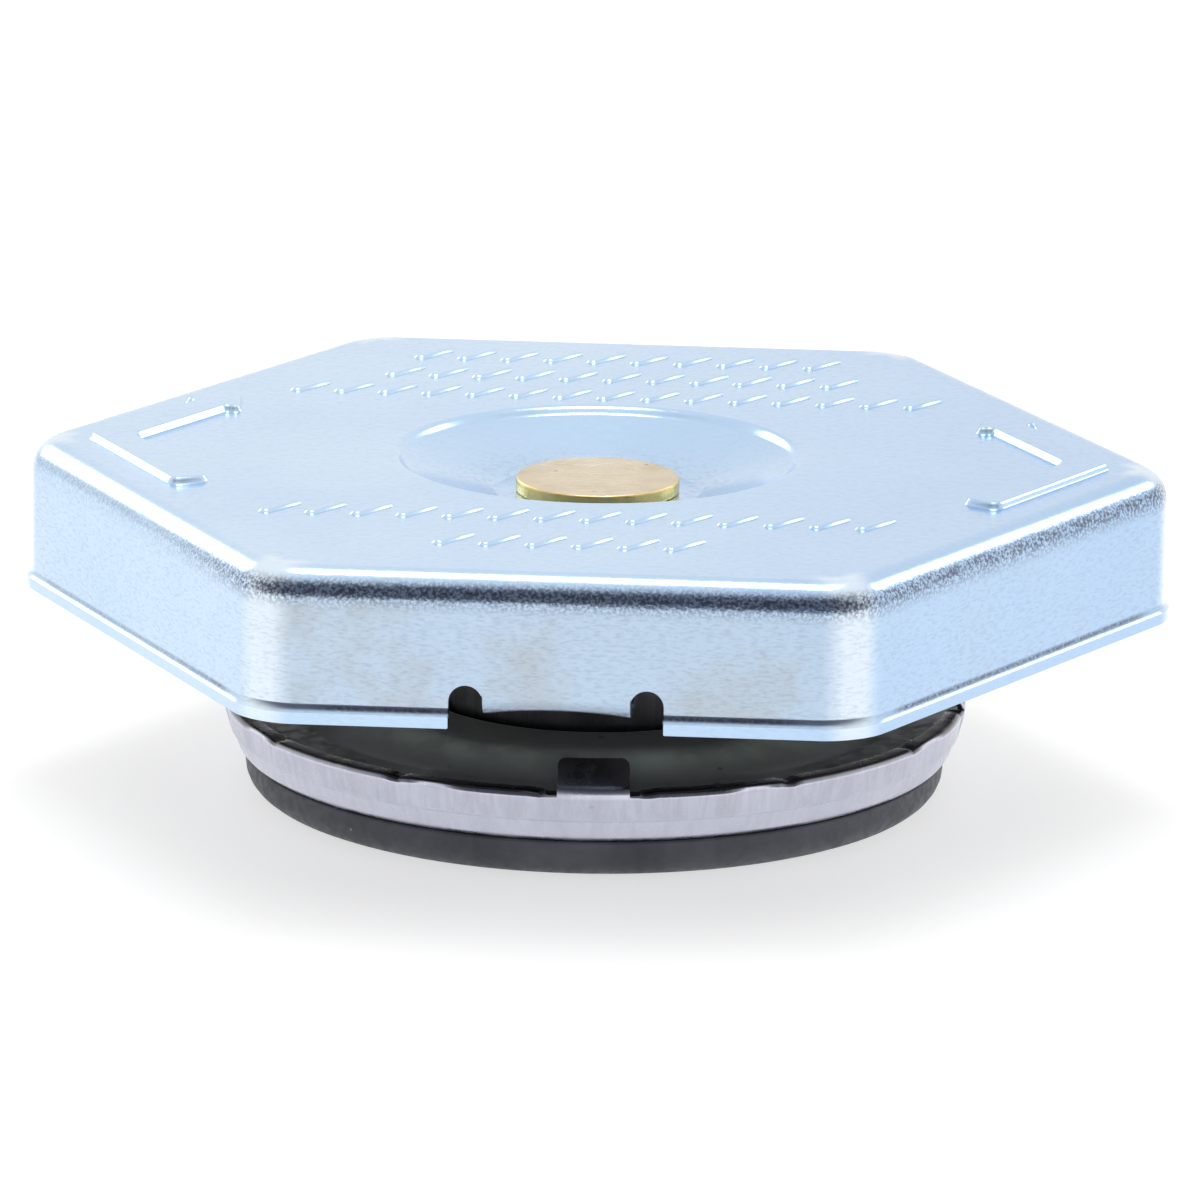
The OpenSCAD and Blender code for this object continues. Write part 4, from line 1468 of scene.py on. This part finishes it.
        with Bench.editing(piece):
            Bench.nudge(lambda place: True, stood)
            for step in range(-3, 4):
                Bench.bisect(lambda strip: True, Vector((0, self.tab_width * step / 8, 0)), Vector((0, 1, 0)))
            Bench.pick(Pick.VERTS, lambda vert: vert.co.z > foot + TINY)
            steps = 8
            line = [Vector((0, 0))]
            start = -self.collar_lean
            for step in range(1, steps + 1):
                angle = start + (self.tab_tilt - start) * step / steps
                line.append(self.tab_bend * Vector((
                    math.cos(angle) - math.cos(start), math.sin(angle) - math.sin(start))))
            straight = self.tab_length - 0.75 * self.tab_bend
            line.append(line[-1] + straight * Vector((-math.sin(self.tab_tilt), math.cos(self.tab_tilt))))
            for here, there in zip(line, line[1:]):
                Bench.extrude((there.x - here.x, 0, there.y - here.y))
            tip = foot + rise + line[-1].y
            Bench.pick(Pick.VERTS, lambda vert: vert.co.z > tip - TINY and abs(vert.co.y) > half - TINY)
            bpy.ops.mesh.bevel(offset=self.tab_corner, segments=5, affect="VERTICES")
            Bench.nudge(lambda place: True, wrapped)
            Bench.weld(recalculate=False)
        Bench.modify(piece, "SOLIDIFY", thickness=self.sheet - 2 * self.tab_setback, offset=-1.0)
        with Bench.editing(piece):
            Bench.weld()
        edges = {"segments": 2, "limit_method": "ANGLE", "angle_limit": math.radians(60)}
        Bench.modify(piece, "BEVEL", width=self.tab_edge, **edges)
        return piece

    def dish(self) -> Piece:
        """Press the retainer dish with its rounded shoulder and drill its drains."""
        low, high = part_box("retainer_dish")
        land_z = high.z - self.dish_sheet
        half = self.dish_sheet / 2
        outer_bend = self.shoulder_bend + self.dish_sheet
        line = rounded([
            (self.dish_hole, land_z, 0.3 * MM), (self.shoulder_top - half, land_z, self.shoulder_bend),
            (self.shoulder_foot - half, low.z, outer_bend), (high.x, low.z, 0.1 * MM),
            (high.x, self.brim_top, 0.1 * MM), (self.shoulder_foot, self.brim_top, self.shoulder_bend),
            (self.shoulder_top, high.z, outer_bend), (self.dish_hole, high.z, 0.3 * MM),
        ], closed=True)
        piece = spun("rounded_dish", line, steps=192)
        reach = (self.shoulder_foot + self.rim_inner) / 2
        drill = Bench.begin(
            "drain", bpy.ops.mesh.primitive_cylinder_add, vertices=24, radius=self.drain,
            depth=4 * self.dish_sheet, location=(reach, 0, self.brim_z),
        )
        self.work_round(piece, drill, self.turn + FULL_TURN / (2 * self.tabs), Combine.DIFFERENCE)
        return piece

    def gasket(self) -> Piece:
        """Mould the gasket with its rounded lower edge and hollow underside."""
        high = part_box("gasket")[1]
        hole = self.neck + 0.06 * MM
        web_z = high.z - self.web
        line = rounded([
            (self.hollow, 0, 0.4 * MM), (high.x, 0, self.gasket_edge), (high.x, self.floor_z, 0.2 * MM),
            (self.plateau_foot, self.floor_z, 0.2 * MM), (self.plateau, high.z, 0.2 * MM), (hole, high.z, 0),
            (hole, web_z, 0), (self.hollow, web_z, 0.3 * MM),
        ], closed=True)
        return spun("moulded_gasket", line, steps=192)


@dataclass
class VacuumValve:
    """The small valve in the vent: disc, seal, stem and keeper."""

    stem: float = 1.3 * MM
    stem_head: float = 0.7 * MM
    edge: float = 0.12 * MM

    def build(self) -> None:
        """Build and fit the disc, the seal, the stem and the keeper."""
        for node, name in (
            ("vacuum_disc", "brass_disc"), ("vacuum_seal", "rubber_seal"), ("vacuum_keeper", "stem_keeper")
        ):
            low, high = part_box(node)
            piece = ring(name, high.x, self.stem, low.z, high.z, self.edge)
            fit(piece, node, Body.VACUUM_VALVE)
        fit(self.stem_piece(), "vacuum_stem", Body.VACUUM_VALVE)

    def stem_piece(self) -> Piece:
        """Turn the stem with its riveted foot and its head above the keeper."""
        low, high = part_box("vacuum_stem")
        disc_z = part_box("vacuum_disc")[0].z
        head_z = high.z - self.stem_head
        line = rounded([
            (0, low.z, 0), (1.5 * self.stem, low.z, self.edge), (1.5 * self.stem, disc_z, 0),
            (self.stem, disc_z, 0), (self.stem, head_z, 0), (1.6 * self.stem, head_z, self.edge),
            (1.3 * self.stem, high.z, 0.3 * MM), (0, high.z, 0),
        ])
        return spun("riveted_stem", line, closed=False, steps=48)


@dataclass
class Studio:
    """The pale floor, the soft light and the camera at the photograph's angle."""

    azimuth: float = math.radians(4.2227)
    elevation: float = math.radians(14.719)
    roll: float = 0.0128
    distance: float = 772.8 * MM
    target: float = 12.8 * MM
    slide: float = -0.2945 * MM
    lift: float = -1.5836 * MM
    lens: float = 304.6
    sensor: float = 36.0

    def build(self) -> None:
        """Set up the floor, the world, the lights and the camera."""
        bpy.context.scene.view_settings.view_transform = "Standard"
        self.floor()
        self.world()
        self.softbox("top_softbox", Vector((0, 0.25, 1.08)), 0.4, 2.6)
        self.softbox("left_softbox", Vector((-0.75, 0.8, 0.52)), 0.45, 1.3)
        self.softbox("right_softbox", Vector((0.74, 0.68, 0.65)), 0.36, 0.9)
        self.softbox("front_fill", Vector((0.1, -1.2, 0.24)), 0.5, 2.6, mirrored=False)
        self.camera()

    def floor(self) -> None:
        """Lay the floor."""
        floor = Bench.begin("floor", bpy.ops.mesh.primitive_plane_add, size=9)
        paint = bpy.data.materials.new("floor_white")
        paint.use_nodes = True
        shader = paint.node_tree.nodes["Principled BSDF"].inputs
        shader["Base Color"].default_value = (0.5, 0.5, 0.5, 1)
        shader["Roughness"].default_value = 0.9
        shader["Emission Color"].default_value = (1, 1, 1, 1)
        shader["Emission Strength"].default_value = 0.62
        shader["Specular IOR Level"].default_value = 0.1
        floor.data.materials.append(paint)

    def world(self) -> None:
        """Light the room: bright above and behind, dimmer on the camera's side."""
        world = bpy.data.worlds.new("studio")
        world.use_nodes = True
        board = NodeBoard(world.node_tree)
        way = board.add("TexCoord").outputs["Generated"]
        axes = board.axes(way)
        back = board.grade(axes["Y"], -0.75, 0.15)
        above = board.grade(axes["Z"], 0.7, 0.97)
        share = board.math("MAXIMUM", back, above)
        colour = board.mix(share, (0.16, 0.16, 0.19), (1.0, 1.0, 1.0))
        shade = world.node_tree.nodes["Background"]
        board.feed(shade.inputs["Color"], colour)
        shade.inputs["Strength"].default_value = 1.0
        bpy.context.scene.world = world

    def softbox(self, name: str, place: Vector, size: float, power: float, mirrored: bool = True) -> None:
        """Hang a square soft light that faces the object.

        Args:
            name: Name of the light.
            place: Where it hangs.
            size: Length of its sides.
            power: Its power in watts.
            mirrored: Whether shiny surfaces reflect it.
        """
        light = bpy.data.lights.new(name, "AREA")
        light.size = size
        light.energy = power
        lamp = bpy.data.objects.new(name, light)
        lamp.location = place
        lamp.visible_glossy = mirrored
        lamp.rotation_euler = (-place).to_track_quat("-Z", "Y").to_euler()
        bpy.context.collection.objects.link(lamp)

    def camera(self) -> None:
        """Place the camera by its angles round the target."""
        right = Vector((math.cos(self.azimuth), math.sin(self.azimuth), 0))
        level = Vector((math.sin(self.azimuth), -math.cos(self.azimuth), 0))
        back = level * math.cos(self.elevation) + Vector((0, 0, math.sin(self.elevation)))
        up = back.cross(right)
        place = Vector((0, 0, self.target)) + self.distance * back - self.slide * right - self.lift * up
        tilted_right = math.cos(self.roll) * right + math.sin(self.roll) * up
        tilted_up = math.cos(self.roll) * up - math.sin(self.roll) * right
        turn = Matrix((tilted_right, tilted_up, back)).transposed().to_4x4()
        data = bpy.data.cameras.new("camera")
        data.lens = self.lens
        data.sensor_width = self.sensor
        data.clip_start = 0.01
        camera = bpy.data.objects.new("camera", data)
        camera.matrix_world = Matrix.Translation(place) @ turn
        bpy.context.collection.objects.link(camera)
        bpy.context.scene.camera = camera


def main() -> None:
    """Build every sub-assembly in order."""
    logging.basicConfig(level=logging.INFO, format="%(message)s")
    for assembly in (CoverAssembly(), BellAssembly(), PressureValve(), VacuumValve(), Studio()):
        assembly.build()
        LOG.info("built %s", type(assembly).__name__)


if __name__ == "__main__":
    main()
